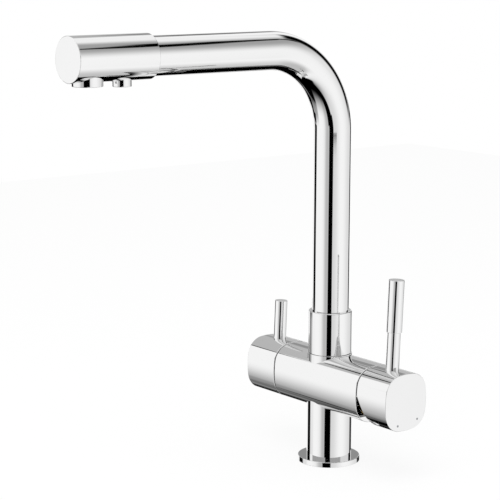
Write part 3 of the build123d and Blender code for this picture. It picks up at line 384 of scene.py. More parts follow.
@dataclass(frozen=True)
class Barrel:
    """Rounded-square bar along X, as stations for a skin."""

    outline: Outline
    level: float

    def place(self, station: float | np.ndarray, inset: float = 0.0) -> np.ndarray:
        """Points of the outline at a station, set in from the surface."""
        points, normals = self.outline.ring()
        flat = points - inset * normals
        return np.column_stack([np.broadcast_to(station, len(flat)), flat[:, 0], self.level + flat[:, 1]])

    def facing(self, tilt: float, end: float) -> np.ndarray:
        """Normals that lean from the surface towards an end of the bar.

        Args:
            tilt: Angle of the lean.
            end: Plus or minus one for the end they lean to.

        Returns:
            A row for each point of the outline.
        """
        normals = self.outline.ring()[1] * math.cos(tilt)
        return np.column_stack([np.full(len(normals), end * math.sin(tilt)), normals])

    def circle(self, station: float, radius: float) -> np.ndarray:
        """Round ring about the bar's axis with as many points as the outline."""
        points = self.outline.ring()[0]
        flat = points / np.linalg.norm(points, axis=1)[:, None] * radius
        return np.column_stack([np.full(len(flat), station), flat[:, 0], self.level + flat[:, 1]])

    def spokes(self) -> np.ndarray:
        """Directions away from the bar's axis, for round rings."""
        points = self.outline.ring()[0]
        flat = points / np.linalg.norm(points, axis=1)[:, None]
        return np.column_stack([np.zeros(len(flat)), flat])

    def edge(self, skin: Skin, start: np.ndarray, station: float | np.ndarray, end: float,
             rounding: float) -> np.ndarray:
        """Run the surface from a ring to a rounded end edge.

        Args:
            skin: The surface that gets the faces.
            start: The ring on the surface where the stretch starts.
            station: Where the end lies.
            end: Plus or minus one for the side of the end.
            rounding: Radius of the edge.

        Returns:
            The ring at the edge of the end face.
        """
        ring, normals = start, self.facing(0, end)
        for step in range(ARC_STEPS + 1):
            tilt = math.pi / 2 * step / ARC_STEPS
            inset = rounding * (1 - math.cos(tilt))
            place = station - end * rounding * (1 - math.sin(tilt))
            after, after_normals = skin.ring(self.place(place, inset)), self.facing(tilt, end)
            skin.strip(ring, after, normals, after_normals)
            ring, normals = after, after_normals
        return ring


# ---- Finishes ----
class Pattern(Enum):
    """How a surface was made."""

    PLATED = "plated"
    TURNED_UPRIGHT = "turned about the upright axis"
    TURNED_ACROSS = "turned about the barrel's axis"
    MOULDED = "moulded"


@dataclass(frozen=True)
class Finish:
    """A material, from its common name and the way its surface was made.

    The grain is the distance between the marks of its making, and the relief is their depth.
    """

    name: str
    colour: str
    pattern: Pattern
    roughness: tuple[float, float]
    grain: float
    relief: float
    metallic: float = 0.0
    mottle: float = 0.04
    ior: float = 1.5
    transmission: float = 0.0
    axis_height: float = 63.5 * MM

    def build(self) -> bpy.types.Material:
        """Make the material.

        Returns:
            A node material that reads object coordinates.
        """
        material = bpy.data.materials.new(self.name)
        material.use_nodes = True
        tree = material.node_tree
        tree.nodes.clear()
        marks = add_node(tree, "ShaderNodeTexNoise", {
            "Vector": self.coordinates(tree), "Scale": 1 / self.grain, "Detail": 3.0}).outputs["Fac"]
        rough = add_node(tree, "ShaderNodeMapRange", {
            "Value": marks, "From Min": 0.3, "From Max": 0.7,
            "To Min": self.roughness[0], "To Max": self.roughness[1]}).outputs["Result"]
        red, green, blue, alpha = linear(self.colour)
        dark = tuple(c * (1 - self.mottle) for c in (red, green, blue)) + (alpha,)
        tint = add_node(tree, "ShaderNodeMix", {
            0: marks, 6: dark, 7: (red, green, blue, alpha)}, data_type="RGBA").outputs[2]
        bump = add_node(tree, "ShaderNodeBump", {
            "Height": marks, "Distance": self.relief, "Strength": 1.0}).outputs["Normal"]
        shader = add_node(tree, "ShaderNodeBsdfPrincipled", {
            "Base Color": tint, "Roughness": rough, "Normal": bump, "Metallic": self.metallic,
            "IOR": self.ior, "Transmission Weight": self.transmission})
        add_node(tree, "ShaderNodeOutputMaterial", {"Surface": shader.outputs["BSDF"]})
        return material

    def coordinates(self, tree: Tree) -> Socket:
        """Coordinates of the marks: plain, or along rings where the piece was turned."""
        place = add_node(tree, "ShaderNodeTexCoord").outputs["Object"]
        if self.pattern in (Pattern.PLATED, Pattern.MOULDED):
            return place
        centre = (0, 0, 0) if self.pattern is Pattern.TURNED_UPRIGHT else (0, 0, -self.axis_height)
        flat = (1, 1, 0) if self.pattern is Pattern.TURNED_UPRIGHT else (0, 1, 1)
        along = (0, 0, 1) if self.pattern is Pattern.TURNED_UPRIGHT else (1, 0, 0)
        moved = add_node(tree, "ShaderNodeMapping", {"Vector": place, "Location": centre}).outputs[0]
        across = add_node(tree, "ShaderNodeVectorMath", {0: moved, 1: flat}, operation="MULTIPLY")
        radius = add_node(tree, "ShaderNodeVectorMath", {0: across.outputs[0]}, operation="LENGTH")
        height = add_node(tree, "ShaderNodeVectorMath", {0: moved, 1: along}, operation="DOT_PRODUCT")
        return add_node(tree, "ShaderNodeCombineXYZ", {
            "X": radius.outputs["Value"], "Y": height.outputs["Value"]}).outputs[0]


# Chrome plate on polished brass: a neutral mirror with a trace of haze where it was wiped.
CHROME = Finish("polished_chrome", "#F4F4F4", Pattern.PLATED, (0.02, 0.05), 14 * MM, 0.0004 * MM,
                metallic=1.0, mottle=0.01)
# Bare brass from the lathe: warm, with fine rings. Real feed marks of 0.1 mm are drawn at 0.3 mm.
BRASS = Finish("turned_brass", "#D9B873", Pattern.TURNED_UPRIGHT, (0.18, 0.38), 0.3 * MM, 0.004 * MM,
               metallic=1.0, mottle=0.1)
BRASS_ACROSS = Finish("turned_brass_across", "#D9B873", Pattern.TURNED_ACROSS, (0.18, 0.38), 0.3 * MM,
                      0.004 * MM, metallic=1.0, mottle=0.1)
# Turned stainless steel: greyer than chrome, with fine rings that blur what it mirrors.
STEEL = Finish("stainless_steel", "#C3C4C6", Pattern.TURNED_ACROSS, (0.2, 0.36), 0.3 * MM, 0.003 * MM,
               metallic=1.0, mottle=0.06)
# Lapped alumina: dense, nearly white, with a silky sheen and fine grit marks.
CERAMIC = Finish("lapped_alumina", "#F1EEE6", Pattern.MOULDED, (0.12, 0.22), 0.5 * MM, 0.001 * MM,
                 mottle=0.03, ior=1.76)
# Moulded nitrile rubber: black with a dull, slightly dusty skin.
RUBBER = Finish("nitrile_rubber", "#1B1B1C", Pattern.MOULDED, (0.55, 0.75), 0.4 * MM, 0.01 * MM,
                mottle=0.25)
# Moulded acetal: milky white, waxy, with the faint flow marks of the mould.
ACETAL = Finish("moulded_acetal", "#E6E6E1", Pattern.MOULDED, (0.32, 0.45), 1.2 * MM, 0.004 * MM,
                mottle=0.05, ior=1.48)
# Moulded grey plastic of the two outlet inserts: matt from a fine spark-eroded mould.
OUTLET_PLASTIC = Finish("outlet_plastic", "#9A9C9F", Pattern.MOULDED, (0.4, 0.55), 0.35 * MM, 0.008 * MM,
                        mottle=0.08)
# Polyethylene tube: milky and half clear.
CLEAR_TUBE = Finish("polyethylene_tube", "#E9EEEE", Pattern.MOULDED, (0.25, 0.4), 2 * MM, 0.004 * MM,
                    mottle=0.03, transmission=0.6)
# Grey inlay plastic of the two marks and the screw plugs: smooth, set flush.
INLAY = Finish("grey_inlay", "#8F9194", Pattern.MOULDED, (0.22, 0.34), 0.6 * MM, 0.003 * MM, mottle=0.06)

FINISH_OF_SLOT = {
    "polished_chrome": CHROME,
    "turned_brass": BRASS,
    "stainless_steel": STEEL,
    "ceramic": CERAMIC,
    "black_rubber": RUBBER,
    "cartridge_plastic": ACETAL,
    "outlet_plastic": OUTLET_PLASTIC,
    "clear_plastic": CLEAR_TUBE,
    "grey_inlay": INLAY,
}
TURNED_ACROSS_NODES = ("cartridge_nut", "filter_headwork", "filter_spindle")


class Workshop:
    """Keeps one material for each finish and hands finished pieces to the frame."""

    def __init__(self) -> None:
        """Start with no materials."""
        self.materials: dict[str, bpy.types.Material] = {}

    def material(self, finish: Finish) -> bpy.types.Material:
        """The material of a finish, made when it is first wanted."""
        if finish.name not in self.materials:
            self.materials[finish.name] = finish.build()
        return self.materials[finish.name]

    def hand_over(self, piece: bpy.types.Object, body: str, slot: str, *nodes: str,
                  finish: Finish | None = None) -> None:
        """Give a piece its finish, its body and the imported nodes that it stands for.

        Args:
            piece: The finished object.
            body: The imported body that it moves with.
            slot: The record's material slot.
            nodes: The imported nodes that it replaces.
            finish: Its finish, where it isn't the slot's usual one.
        """
        material = self.material(finish or FINISH_OF_SLOT[slot])
        piece.data.materials.clear()
        piece.data.materials.append(material)
        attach(piece, body)
        if nodes:
            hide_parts(*nodes)
        LOG.info("%s on %s: %d faces", piece.name, body, len(piece.data.polygons))


# ---- Geometry node trees ----
def new_tree(name: str, sockets: dict[str, str]) -> tuple[Tree, bpy.types.Node]:
    """Start a geometry node tree with named inputs.

    Args:
        name: The tree's name.
        sockets: Socket type of each input, by name.

    Returns:
        The tree and its input node.
    """
    tree = bpy.data.node_groups.new(name, "GeometryNodeTree")
    for label, kind in sockets.items():
        tree.interface.new_socket(label, in_out="INPUT", socket_type=kind)
    tree.interface.new_socket("Geometry", in_out="OUTPUT", socket_type="NodeSocketGeometry")
    return tree, add_node(tree, "NodeGroupInput")


def finish_tree(tree: Tree, geometry: Socket, material: Socket) -> None:
    """End a tree in real geometry with its material."""
    real = add_node(tree, "GeometryNodeRealizeInstances", {"Geometry": geometry}).outputs[0]
    dressed = add_node(tree, "GeometryNodeSetMaterial", {"Geometry": real, "Material": material}).outputs[0]
    add_node(tree, "NodeGroupOutput", {0: dressed})


def grow(piece: bpy.types.Object, tree: Tree, values: dict[str, object]) -> bpy.types.Object:
    """Run a tree on a piece and keep the result as its plain mesh.

    Args:
        piece: The object that carries the tree's input geometry.
        tree: The geometry node tree.
        values: A value for each named input.

    Returns:
        The same object.
    """
    modifier = piece.modifiers.new(tree.name, "NODES")
    modifier.node_group = tree
    for item in tree.interface.items_tree:
        if item.in_out == "INPUT" and item.name in values:
            modifier[item.identifier] = values[item.name]
    ready = piece.evaluated_get(bpy.context.evaluated_depsgraph_get())
    mesh = bpy.data.meshes.new_from_object(ready)
    piece.modifiers.clear()
    piece.data = mesh
    return piece


def bent_tube_tree() -> Tree:
    """Tube that follows a line of corners, each rounded to the bend radius."""
    tree, given = new_tree("bent_tube", {
        "Geometry": "NodeSocketGeometry", "Tube radius": "NodeSocketFloat",
        "Bend radius": "NodeSocketFloat", "Ring spacing": "NodeSocketFloat", "Sides": "NodeSocketInt",
        "Material": "NodeSocketMaterial"})
    line = add_node(tree, "GeometryNodeMeshToCurve", {"Mesh": given.outputs["Geometry"]}).outputs[0]
    bend = add_node(tree, "GeometryNodeFilletCurve", {
        "Curve": line, "Count": 160, "Radius": given.outputs["Bend radius"]}, mode="POLY").outputs[0]
    even = add_node(tree, "GeometryNodeResampleCurve", {
        "Curve": bend, "Length": given.outputs["Ring spacing"]}, mode="LENGTH").outputs[0]
    section = add_node(tree, "GeometryNodeCurvePrimitiveCircle", {
        "Resolution": given.outputs["Sides"],
        "Radius": given.outputs["Tube radius"]}, mode="RADIUS").outputs[0]
    tube = add_node(tree, "GeometryNodeCurveToMesh", {"Curve": even, "Profile Curve": section}).outputs[0]
    smooth = add_node(tree, "GeometryNodeSetShadeSmooth", {0: tube}).outputs[0]
    finish_tree(tree, smooth, given.outputs["Material"])
    return tree


def sieve_tree() -> Tree:
    """Round plate with a hexagonal field of round holes through it."""
    rows = 15
    tree, given = new_tree("sieve", {
        "Geometry": "NodeSocketGeometry", "Plate radius": "NodeSocketFloat", "Thickness": "NodeSocketFloat",
        "Hole radius": "NodeSocketFloat", "Pitch": "NodeSocketFloat", "Field radius": "NodeSocketFloat",
        "Centre": "NodeSocketVector", "Material": "NodeSocketMaterial"})
    pitch = given.outputs["Pitch"]
    wide = calc(tree, "MULTIPLY", pitch, rows - 1.0)
    deep = calc(tree, "MULTIPLY", wide, math.sqrt(3) / 2)
    grid = add_node(tree, "GeometryNodeMeshGrid", {
        "Size X": wide, "Size Y": deep, "Vertices X": rows, "Vertices Y": rows}).outputs["Mesh"]
    number = add_node(tree, "GeometryNodeInputIndex").outputs[0]
    row = calc(tree, "MODULO", number, float(rows))
    odd = calc(tree, "MODULO", calc(tree, "ADD", row, 1.0), 2.0)
    shift = calc(tree, "MULTIPLY", odd, calc(tree, "MULTIPLY", pitch, 0.5))
    offset = add_node(tree, "ShaderNodeCombineXYZ", {"X": shift}).outputs[0]
    staggered = add_node(tree, "GeometryNodeSetPosition", {"Geometry": grid, "Offset": offset}).outputs[0]
    place = add_node(tree, "GeometryNodeInputPosition").outputs[0]
    distance = add_node(tree, "ShaderNodeVectorMath", {0: place}, operation="LENGTH").outputs["Value"]
    outside = add_node(tree, "FunctionNodeCompare", {0: distance, 1: given.outputs["Field radius"]},
                       data_type="FLOAT", operation="GREATER_THAN").outputs[0]
    spots = add_node(tree, "GeometryNodeDeleteGeometry", {
        "Geometry": staggered, "Selection": outside}, domain="POINT").outputs[0]
    deeper = calc(tree, "MULTIPLY", given.outputs["Thickness"], 2.0)
    drill = add_node(tree, "GeometryNodeMeshCylinder", {
        "Vertices": 20, "Radius": given.outputs["Hole radius"], "Depth": deeper}).outputs["Mesh"]
    drills = add_node(tree, "GeometryNodeInstanceOnPoints", {"Points": spots, "Instance": drill}).outputs[0]
    solid_drills = add_node(tree, "GeometryNodeRealizeInstances", {"Geometry": drills}).outputs[0]
    plate = add_node(tree, "GeometryNodeMeshCylinder", {
        "Vertices": 96, "Radius": given.outputs["Plate radius"],
        "Depth": given.outputs["Thickness"]}).outputs["Mesh"]
    drilled = add_node(tree, "GeometryNodeMeshBoolean", {"Mesh 1": plate, "Mesh 2": solid_drills},
                       operation="DIFFERENCE", solver="EXACT").outputs[0]
    placed = add_node(tree, "GeometryNodeTransform", {
        "Geometry": drilled, "Translation": given.outputs["Centre"]}).outputs[0]
    finish_tree(tree, placed, given.outputs["Material"])
    return tree


# ---- Sub-assemblies ----
@dataclass
class Base:
    """Cover flange, column and the column's foot inside the flange."""

    workshop: Workshop
    barrel: Barrel
    mounts: list[dict]
    edge: float = 0.4 * MM
    broken: float = 0.15 * MM
    flange_bore: float = 15.53 * MM
    groove: float = 3 * MM
    wall: float = 2.0 * MM
    foot_rise: float = 0.6 * MM
    hole_depth: float = 12 * MM

    def build(self) -> None:
        """Build and hand over the three pieces."""
        self.flange()
        self.column()
        self.foot()

    def flange(self) -> None:
        """Turned ring with a rounded rim and the groove of the deck seal."""
        outer, top = span("base_flange", 0)[1], span("base_flange", 2)[1]
        seal_outer, seal_top = span("base_seal", 0)[1] + FIT, span("base_seal", 2)[1]
        seal_inner = seal_outer - self.groove
        skin = Skin()
        Lathe(skin, Matrix()).profile([
            (self.flange_bore, 0), (seal_inner, 0), (seal_inner, seal_top), (seal_outer, seal_top),
            (seal_outer, 0), (outer, 0, self.broken), (outer, top, self.edge), (self.flange_bore, top)])
        self.workshop.hand_over(skin.piece("flange_ring"), "fixed_body", "polished_chrome", "base_flange")

    def column(self) -> None:
        """Round sleeve that stands on the flange and is saddled to the barrel above."""
        outer = span("column", 0)[1]
        low = span("base_flange", 2)[1]
        inner = outer - self.wall
        lathe = Lathe(Skin(), Matrix())
        skin = lathe.skin
        angles = lathe.round
        outward, inward = lathe.sweep(np.array([1, 0])), lathe.sweep(np.array([-1, 0]))
        up, down = lathe.sweep(np.array([0, 1])), lathe.sweep(np.array([0, -1]))
        rings = []
        for radius in (outer, inner):
            flat = skin.ring(np.column_stack([angles * radius, np.full(len(angles), low)]))
            height = self.barrel.level - self.barrel.outline.rise(angles[:, 1] * radius) + SUNK
            rings.append((flat, skin.ring(np.column_stack([angles * radius, height]))))
        (outer_low, outer_high), (inner_low, inner_high) = rings
        skin.strip(outer_low, outer_high, outward, outward)
        skin.strip(inner_low, inner_high, inward, inward)
        skin.strip(outer_low, inner_low, down, down)
        skin.strip(outer_high, inner_high, up, up)
        self.workshop.hand_over(skin.piece("column_sleeve"), "fixed_body", "polished_chrome", "column")

    def foot(self) -> None:
        """Brass foot with its hose threads and stud holes, seen only from below."""
        radius = span("column", 0)[1] - self.wall
        low, top = self.foot_rise, self.foot_rise + 2 * self.hole_depth
        skin = Skin()
        Lathe(skin, Matrix()).profile([(0, low), (radius, low, self.broken), (radius, top), (0, top)],
                                      closed=False)
        foot = skin.piece("column_foot")
        drills = Skin()
        for x, y, hole in self.holes():
            Lathe(drills, Matrix.Translation((x, y, low)), SMALL_SIDES).profile([
                (0, -self.hole_depth), (hole, -self.hole_depth), (hole, self.hole_depth),
                (0, self.hole_depth)], closed=False)
        cutter = drills.piece("foot_drills")
        cut = foot.modifiers.new("holes", "BOOLEAN")
        cut.object, cut.operation, cut.solver = cutter, "DIFFERENCE", "EXACT"
        mesh = bpy.data.meshes.new_from_object(foot.evaluated_get(bpy.context.evaluated_depsgraph_get()))
        foot.modifiers.clear()
        foot.data = mesh
        mesh.shade_flat()
        bpy.data.objects.remove(cutter)
        self.workshop.hand_over(foot, "fixed_body", "turned_brass")

    def holes(self) -> list[tuple[float, float, float]]:
        """Place and radius of each hole in the foot, from the record's mounts."""
        return [(*mount["pos_m"][:2], mount["dims"]["r_mm"] * MM) for mount in self.mounts]


@dataclass
class ValveBody:
    """Rounded-square barrel with its two open chambers, and the boss under the spout."""

    workshop: Workshop
    barrel: Barrel
    edge: float = 0.5 * MM
    mixer_bore: float = 18.5 * MM
    mixer_floor: float = 20.5 * MM
    filter_bore: float = 10.4 * MM
    filter_floor: float = -23 * MM
    boss_radius: float = 17 * MM
    boss_edge: float = 0.3 * MM
    socket_radius: float = 13 * MM
    socket_depth: float = 8 * MM
    boss_wall: float = 2 * MM
    boss_floor: float = 1 * MM

    def build(self) -> None:
        """Build and hand over the two pieces."""
        skin = Skin()
        start, end = span("valve_body", 0)
        waist = skin.ring(self.barrel.place((start + end) / 2))
        self.chamber(skin, waist, end, 1, self.mixer_bore, self.mixer_floor)
        self.chamber(skin, waist, start, -1, self.filter_bore, self.filter_floor)
        self.workshop.hand_over(skin.piece("body_barrel"), "fixed_body", "polished_chrome", "valve_body")
        self.boss()

    def chamber(self, skin: Skin, waist: np.ndarray, end: float, side: float, bore: float,
                floor: float) -> None:
        """Close one end of the barrel with its face and the bore behind it.

        Args:
            skin: The barrel's surface.
            waist: Ring round the barrel's middle.
            end: Station of the end face.
            side: Plus or minus one for the side of the end.
            bore: Radius of the chamber.
            floor: Station of the chamber's floor.
        """
        rim = self.barrel.edge(skin, waist, end, side, self.edge)
        axial = self.barrel.facing(math.pi / 2, side)
        mouth = skin.ring(self.barrel.circle(end, bore))
        skin.strip(rim, mouth, axial, axial)
        back = skin.ring(self.barrel.circle(floor, bore))
        inward = -self.barrel.spokes()
        skin.strip(mouth, back, inward, inward)
        skin.lid(back, np.array([side, 0.0, 0.0]))

    def boss(self) -> None:
        """Low round boss that grows out of the barrel's top under the collar."""
        top = span("valve_body", 2)[1]
        lathe = Lathe(Skin(), Matrix())
        skin, angles = lathe.skin, lathe.round
        height = self.barrel.level + self.barrel.outline.rise(angles[:, 1] * self.boss_radius) - SUNK
        foot = skin.ring(np.column_stack([angles * self.boss_radius, height]))
        outward = lathe.sweep(np.array([1, 0]))
        shoulder = lathe.ring(np.array([self.boss_radius, top - self.boss_edge]))
        skin.strip(foot, shoulder, outward, outward)
        samples = []
        for step in range(ARC_STEPS + 1):
            tilt = math.pi / 2 * step / ARC_STEPS
            normal = np.array([math.cos(tilt), math.sin(tilt)])
            corner = np.array([self.boss_radius - self.boss_edge, top - self.boss_edge])
            samples.append((corner + self.boss_edge * normal, normal))
        mouth = np.array([self.socket_radius, top])
        floor = np.array([self.socket_radius, top - self.socket_depth])
        lathe.run(samples)
        lathe.straight(samples[-1][0], mouth)
        lathe.straight(mouth, floor)
        skin.lid(lathe.ring(floor), np.array([0.0, 0.0, 1.0]))
        under = lathe.ring(floor + np.array([self.boss_wall, -self.boss_floor]))
        down = lathe.sweep(np.array([0, -1]))
        skin.strip(foot, under, down, down)
        skin.lid(under, np.array([0.0, 0.0, -1.0]))
        self.workshop.hand_over(skin.piece("body_boss"), "fixed_body", "polished_chrome")


@dataclass
class Handle:
    """Hollow chrome handle with its screw plug cap, seen from outside and through its rim."""

    workshop: Workshop
    barrel: Barrel
    body: str
    node: str
    side: float
    boss_start: float
    cut_angle: float = 0.0
    cut_rise: float = 2 * MM
    wall: float = 2.3 * MM
    end_wall: float = 2.8 * MM
    rim_edge: float = 0.5 * MM
    end_edge: float = 0.4 * MM
    boss_radius: float = 10 * MM
    socket_depth: float = 14 * MM
    socket_radius: float = 4.03 * MM
    plug_proud: float = 0.12 * MM

    def shell(self) -> None:
        """Outer surface, slanted or square rim, inner wall, floor and the boss on the spindle."""
        low, high = span(self.node, 0)
        rim, end = (low, high) if self.side > 0 else (high, low)
        skin = Skin()
        barrel, side = self.barrel, self.side
        waist = skin.ring(barrel.place(end - side * 4 * self.end_edge))
        face = barrel.edge(skin, waist, end, side, self.end_edge)
        skin.lid(face, np.array([side, 0.0, 0.0]))
        lip = barrel.edge(skin, waist, self.slant(rim, 0), -side, self.rim_edge)
        inner_lip = skin.ring(barrel.place(self.slant(rim, self.wall), self.wall))
        facing = self.rim_normals()
        skin.strip(lip, inner_lip, facing, facing)
        floor = end - side * self.end_wall
        back = skin.ring(barrel.place(floor, self.wall))
        inward = -barrel.facing(0, 1)
        skin.strip(inner_lip, back, inward, inward)
        axial = barrel.facing(math.pi / 2, -side)
        rings = [back, *(skin.ring(barrel.circle(station, radius)) for station, radius in (
            (floor, self.boss_radius), (self.boss_start, self.boss_radius),
            (self.boss_start, self.socket_radius),
            (self.boss_start + side * self.socket_depth, self.socket_radius)))]
        outward = barrel.spokes()
        for number, normals in enumerate((axial, outward, axial, -outward)):
            skin.strip(rings[number], rings[number + 1], normals, normals)
        skin.lid(rings[-1], np.array([-side, 0.0, 0.0]))
        self.workshop.hand_over(skin.piece(f"{self.node}_shell"), self.body, "polished_chrome", self.node)

    def slant(self, rim: float, inset: float) -> np.ndarray:
        """Station of the rim at every point of the outline."""
        height = self.barrel.place(0.0, inset)[:, 2] - self.barrel.level
        fall = np.maximum(self.cut_rise - height, 0) * math.tan(self.cut_angle)
        return rim + self.side * fall

    def rim_normals(self) -> np.ndarray:
        """Normals of the rim's face, slanted below the rise."""
        height = self.barrel.place(0.0)[:, 2] - self.barrel.level
        lean = np.where(height < self.cut_rise, self.cut_angle, 0.0)
        return np.column_stack([-self.side * np.cos(lean), np.zeros(len(lean)), -np.sin(lean)])

    def plug(self, node: str) -> None:
        """Grey cap of the screw hole, a touch proud of the underside."""
        low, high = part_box(node)
        centre = (low + high) / 2
        radius, depth, proud = (high.x - low.x) / 2, high.z - low.z, self.plug_proud
        skin = Skin()
        Lathe(skin, Matrix.Translation((centre.x, centre.y, low.z)), SMALL_SIDES).profile([
            (0, -proud), (radius, -proud, proud), (radius, depth), (0, depth)], closed=False)
        self.workshop.hand_over(skin.piece(f"{node}_cap"), self.body, "grey_inlay", node)


@dataclass
class Lever:
    """Round lever rod that leans back from a handle, with or without a thicker grip."""

    workshop: Workshop
    barrel: Barrel
    body: str
    station: float
    lean: float = math.radians(2.4)
    edge: float = 0.4 * MM
    sunk: float = 1.5 * MM

    def turn(self, name: str, node: str, corners: list[tuple[float, ...]]) -> None:
        """Turn one part of the lever on its leaning axis.

        Args:
            name: The piece's name.
            node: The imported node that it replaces.
            corners: Its profile, with heights over the deck.
        """
        stretch = 1 / math.cos(self.lean)
        level = self.barrel.level
        place = Matrix.Translation((self.station, 0, level)) @ Matrix.Rotation(-self.lean, 4, "X")
        profile = [(radius, (height - level) * stretch, *rest) for radius, height, *rest in corners]
        skin = Skin()
        Lathe(skin, place).profile(profile, closed=False)
        self.workshop.hand_over(skin.piece(name), self.body, "polished_chrome", node)

    def foot(self) -> float:
        """Height inside the handle's wall where the rod starts."""
        return self.barrel.level + self.barrel.outline.half_height - self.sunk

    def top(self, node: str) -> float:
        """Height of a leaning node's flat top on its own axis."""
        return span(node, 2)[1] - half_span(node, 0) * math.sin(self.lean)


@dataclass
class MixerControl:
    """Mixer handle with its lever, grip, marks and the domed cover behind its slanted rim."""

    workshop: Workshop
    barrel: Barrel
    pivot: float
    body: str = "mixer_lever"
    cut_angle: float = math.radians(28)
    grip_bottom: float = 113 * MM
    core_radius: float = 4 * MM
    cap: float = 2 * MM
    dome_radius: float = 21.5 * MM
    dome_gap: float = 0.8 * MM
    dome_opening: float = 13.5 * MM
    skirt_radius: float = 17.3 * MM
    neck_radius: float = 15.83 * MM
    nut_gap: float = 0.4 * MM
    rod_edge: float = 0.1 * MM
    grip_edge: float = 0.3 * MM
    mark_proud: float = 0.03 * MM

    def build(self) -> None:
        """Build and hand over every piece of the mixer control."""
        boss_start = self.pivot + self.dome_radius + self.dome_gap
        handle = Handle(self.workshop, self.barrel, self.body, "mixer_handle", 1.0, boss_start,
                        self.cut_angle)
        handle.shell()
        handle.plug("mixer_screw_plug")
        self.lever()
        self.cover()
        for node in ("hot_index_dot", "cold_index_dot"):
            self.mark(node)

    def lever(self) -> None:
        """Lower rod with its core, and the closed sleeve on it."""
        lever = Lever(self.workshop, self.barrel, self.body, middle("mixer_lever_rod", 0))
        rod, grip = half_span("mixer_lever_rod", 0), half_span("mixer_lever_grip", 0)
        top = lever.top("mixer_lever_grip")
        shoulder = self.grip_bottom
        lever.turn("mixer_rod", "mixer_lever_rod", [
            (0, lever.foot()), (rod, lever.foot()), (rod, shoulder, self.rod_edge),
            (self.core_radius, shoulder), (self.core_radius, top - self.cap), (0, top - self.cap)])
        bore = self.core_radius + FIT
        lever.turn("mixer_grip", "mixer_lever_grip", [
            (0, top - self.cap), (bore, top - self.cap), (bore, shoulder), (grip, shoulder, self.grip_edge),
            (grip, top, lever.edge), (0, top)])

    def cover(self) -> None:
        """Domed ring over the cartridge nut, centred on the lever's pivot."""
        start = span("mixer_cover", 0)[0] - self.pivot
        centre = Matrix.Translation((self.pivot, 0, self.barrel.level))
        foot = math.asin(self.skirt_radius / self.dome_radius)
        lip = math.asin(self.dome_opening / self.dome_radius)
        step = span("cartridge_nut", 0)[1] - self.pivot + self.nut_gap
        skin = Skin()
        lathe = Lathe(skin, centre @ Matrix.Rotation(math.pi / 2, 4, "Y"))
        lathe.dome(0, self.dome_radius, foot, lip)
        spots = [(self.dome_opening, self.dome_radius * math.cos(lip)), (self.dome_opening, step),
                 (self.neck_radius, step), (self.neck_radius, start), (self.skirt_radius, start),
                 (self.skirt_radius, self.dome_radius * math.cos(foot))]
        for here, after in zip(spots, spots[1:]):
            lathe.straight(np.array(here), np.array(after))
        self.workshop.hand_over(skin.piece("cartridge_cover"), "fixed_body", "polished_chrome",
                                "mixer_cover")

    def mark(self, node: str) -> None:
        """Small round inlay on the handle's end face."""
        low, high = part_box(node)
        centre = (low + high) / 2
        radius, depth = (high.y - low.y) / 2, high.x - low.x + self.mark_proud
        place = Matrix.Translation((low.x, centre.y, centre.z)) @ Matrix.Rotation(math.pi / 2, 4, "Y")
        skin = Skin()
        Lathe(skin, place, SMALL_SIDES).profile([
            (0, 0), (radius, 0), (radius, depth, self.mark_proud), (0, depth)], closed=False)
        self.workshop.hand_over(skin.piece(f"{node}_inlay"), self.body, "grey_inlay", node)


@dataclass
class FilterControl:
    """Filtered water handle with its short lever."""

    workshop: Workshop
    barrel: Barrel
    body: str = "filter_lever"
    boss_gap: float = 1.5 * MM

    def build(self) -> None:
        """Build and hand over every piece of the filtered water control."""
        boss_start = span("filter_circlip", 0)[0] - self.boss_gap
        handle = Handle(self.workshop, self.barrel, self.body, "filter_handle", -1.0, boss_start)
        handle.shell()
        handle.plug("filter_screw_plug")
        lever = Lever(self.workshop, self.barrel, self.body, middle("filter_lever_rod", 0))
        radius, top = half_span("filter_lever_rod", 0), lever.top("filter_lever_rod")
        lever.turn("filter_rod", "filter_lever_rod", [
            (0, lever.foot()), (radius, lever.foot()), (radius, top, lever.edge), (0, top)])


@dataclass
class SpoutFoot:
    """Collar that turns on the boss, with its grub screw at the back."""

    workshop: Workshop
    body: str = "swivel_spout"
    soft_edge: float = 0.8 * MM
    broken: float = 0.25 * MM
    tube_seat: float = 14.03 * MM
    spigot_bore: float = 11.05 * MM
    flange_bore: float = 14.9 * MM
    ring_gap: float = 0.05 * MM
    screw_radius: float = 2 * MM
    screw_edge: float = 0.2 * MM
    screw_proud: float = 0.02 * MM
    key_mouth: float = 1.2 * MM
    key_foot: float = 1.0 * MM
    key_depth: float = 0.8 * MM

    def build(self) -> None:
        """Build and hand over the collar and its screw."""
        radius = span("spout_collar", 0)[1]
        low, top = span("spout_collar", 2)
        seat = span("spout_tube", 2)[0]
        shoulder = span("glide_ring", 2)[1] + self.ring_gap
        skin = Skin()
        Lathe(skin, Matrix()).profile([
            (self.flange_bore, low), (radius, low, self.broken), (radius, top, self.soft_edge),
            (self.tube_seat, top), (self.tube_seat, seat), (self.spigot_bore, seat),
            (self.spigot_bore, shoulder), (self.flange_bore, shoulder)])
        self.workshop.hand_over(skin.piece("turning_collar"), self.body, "polished_chrome", "spout_collar")
        self.lock_screw(radius)

    def lock_screw(self, collar_radius: float) -> None:
        """Socket screw in the back of the collar, level with its surface."""
        low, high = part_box("spout_lock_screw")
        level = (low.z + high.z) / 2
        face = collar_radius + self.screw_proud - low.y
        floor = face - self.key_depth
        place = Matrix.Translation((0, low.y, level)) @ Matrix.Rotation(-math.pi / 2, 4, "X")
        skin = Skin()
        Lathe(skin, place, SMALL_SIDES).profile([
            (0, 0), (self.screw_radius, 0), (self.screw_radius, face, self.screw_edge),
            (self.key_mouth, face), (self.key_foot, floor), (0, floor)], closed=False)
        self.workshop.hand_over(skin.piece("collar_lock_screw"), self.body, "stainless_steel",
                                "spout_lock_screw")


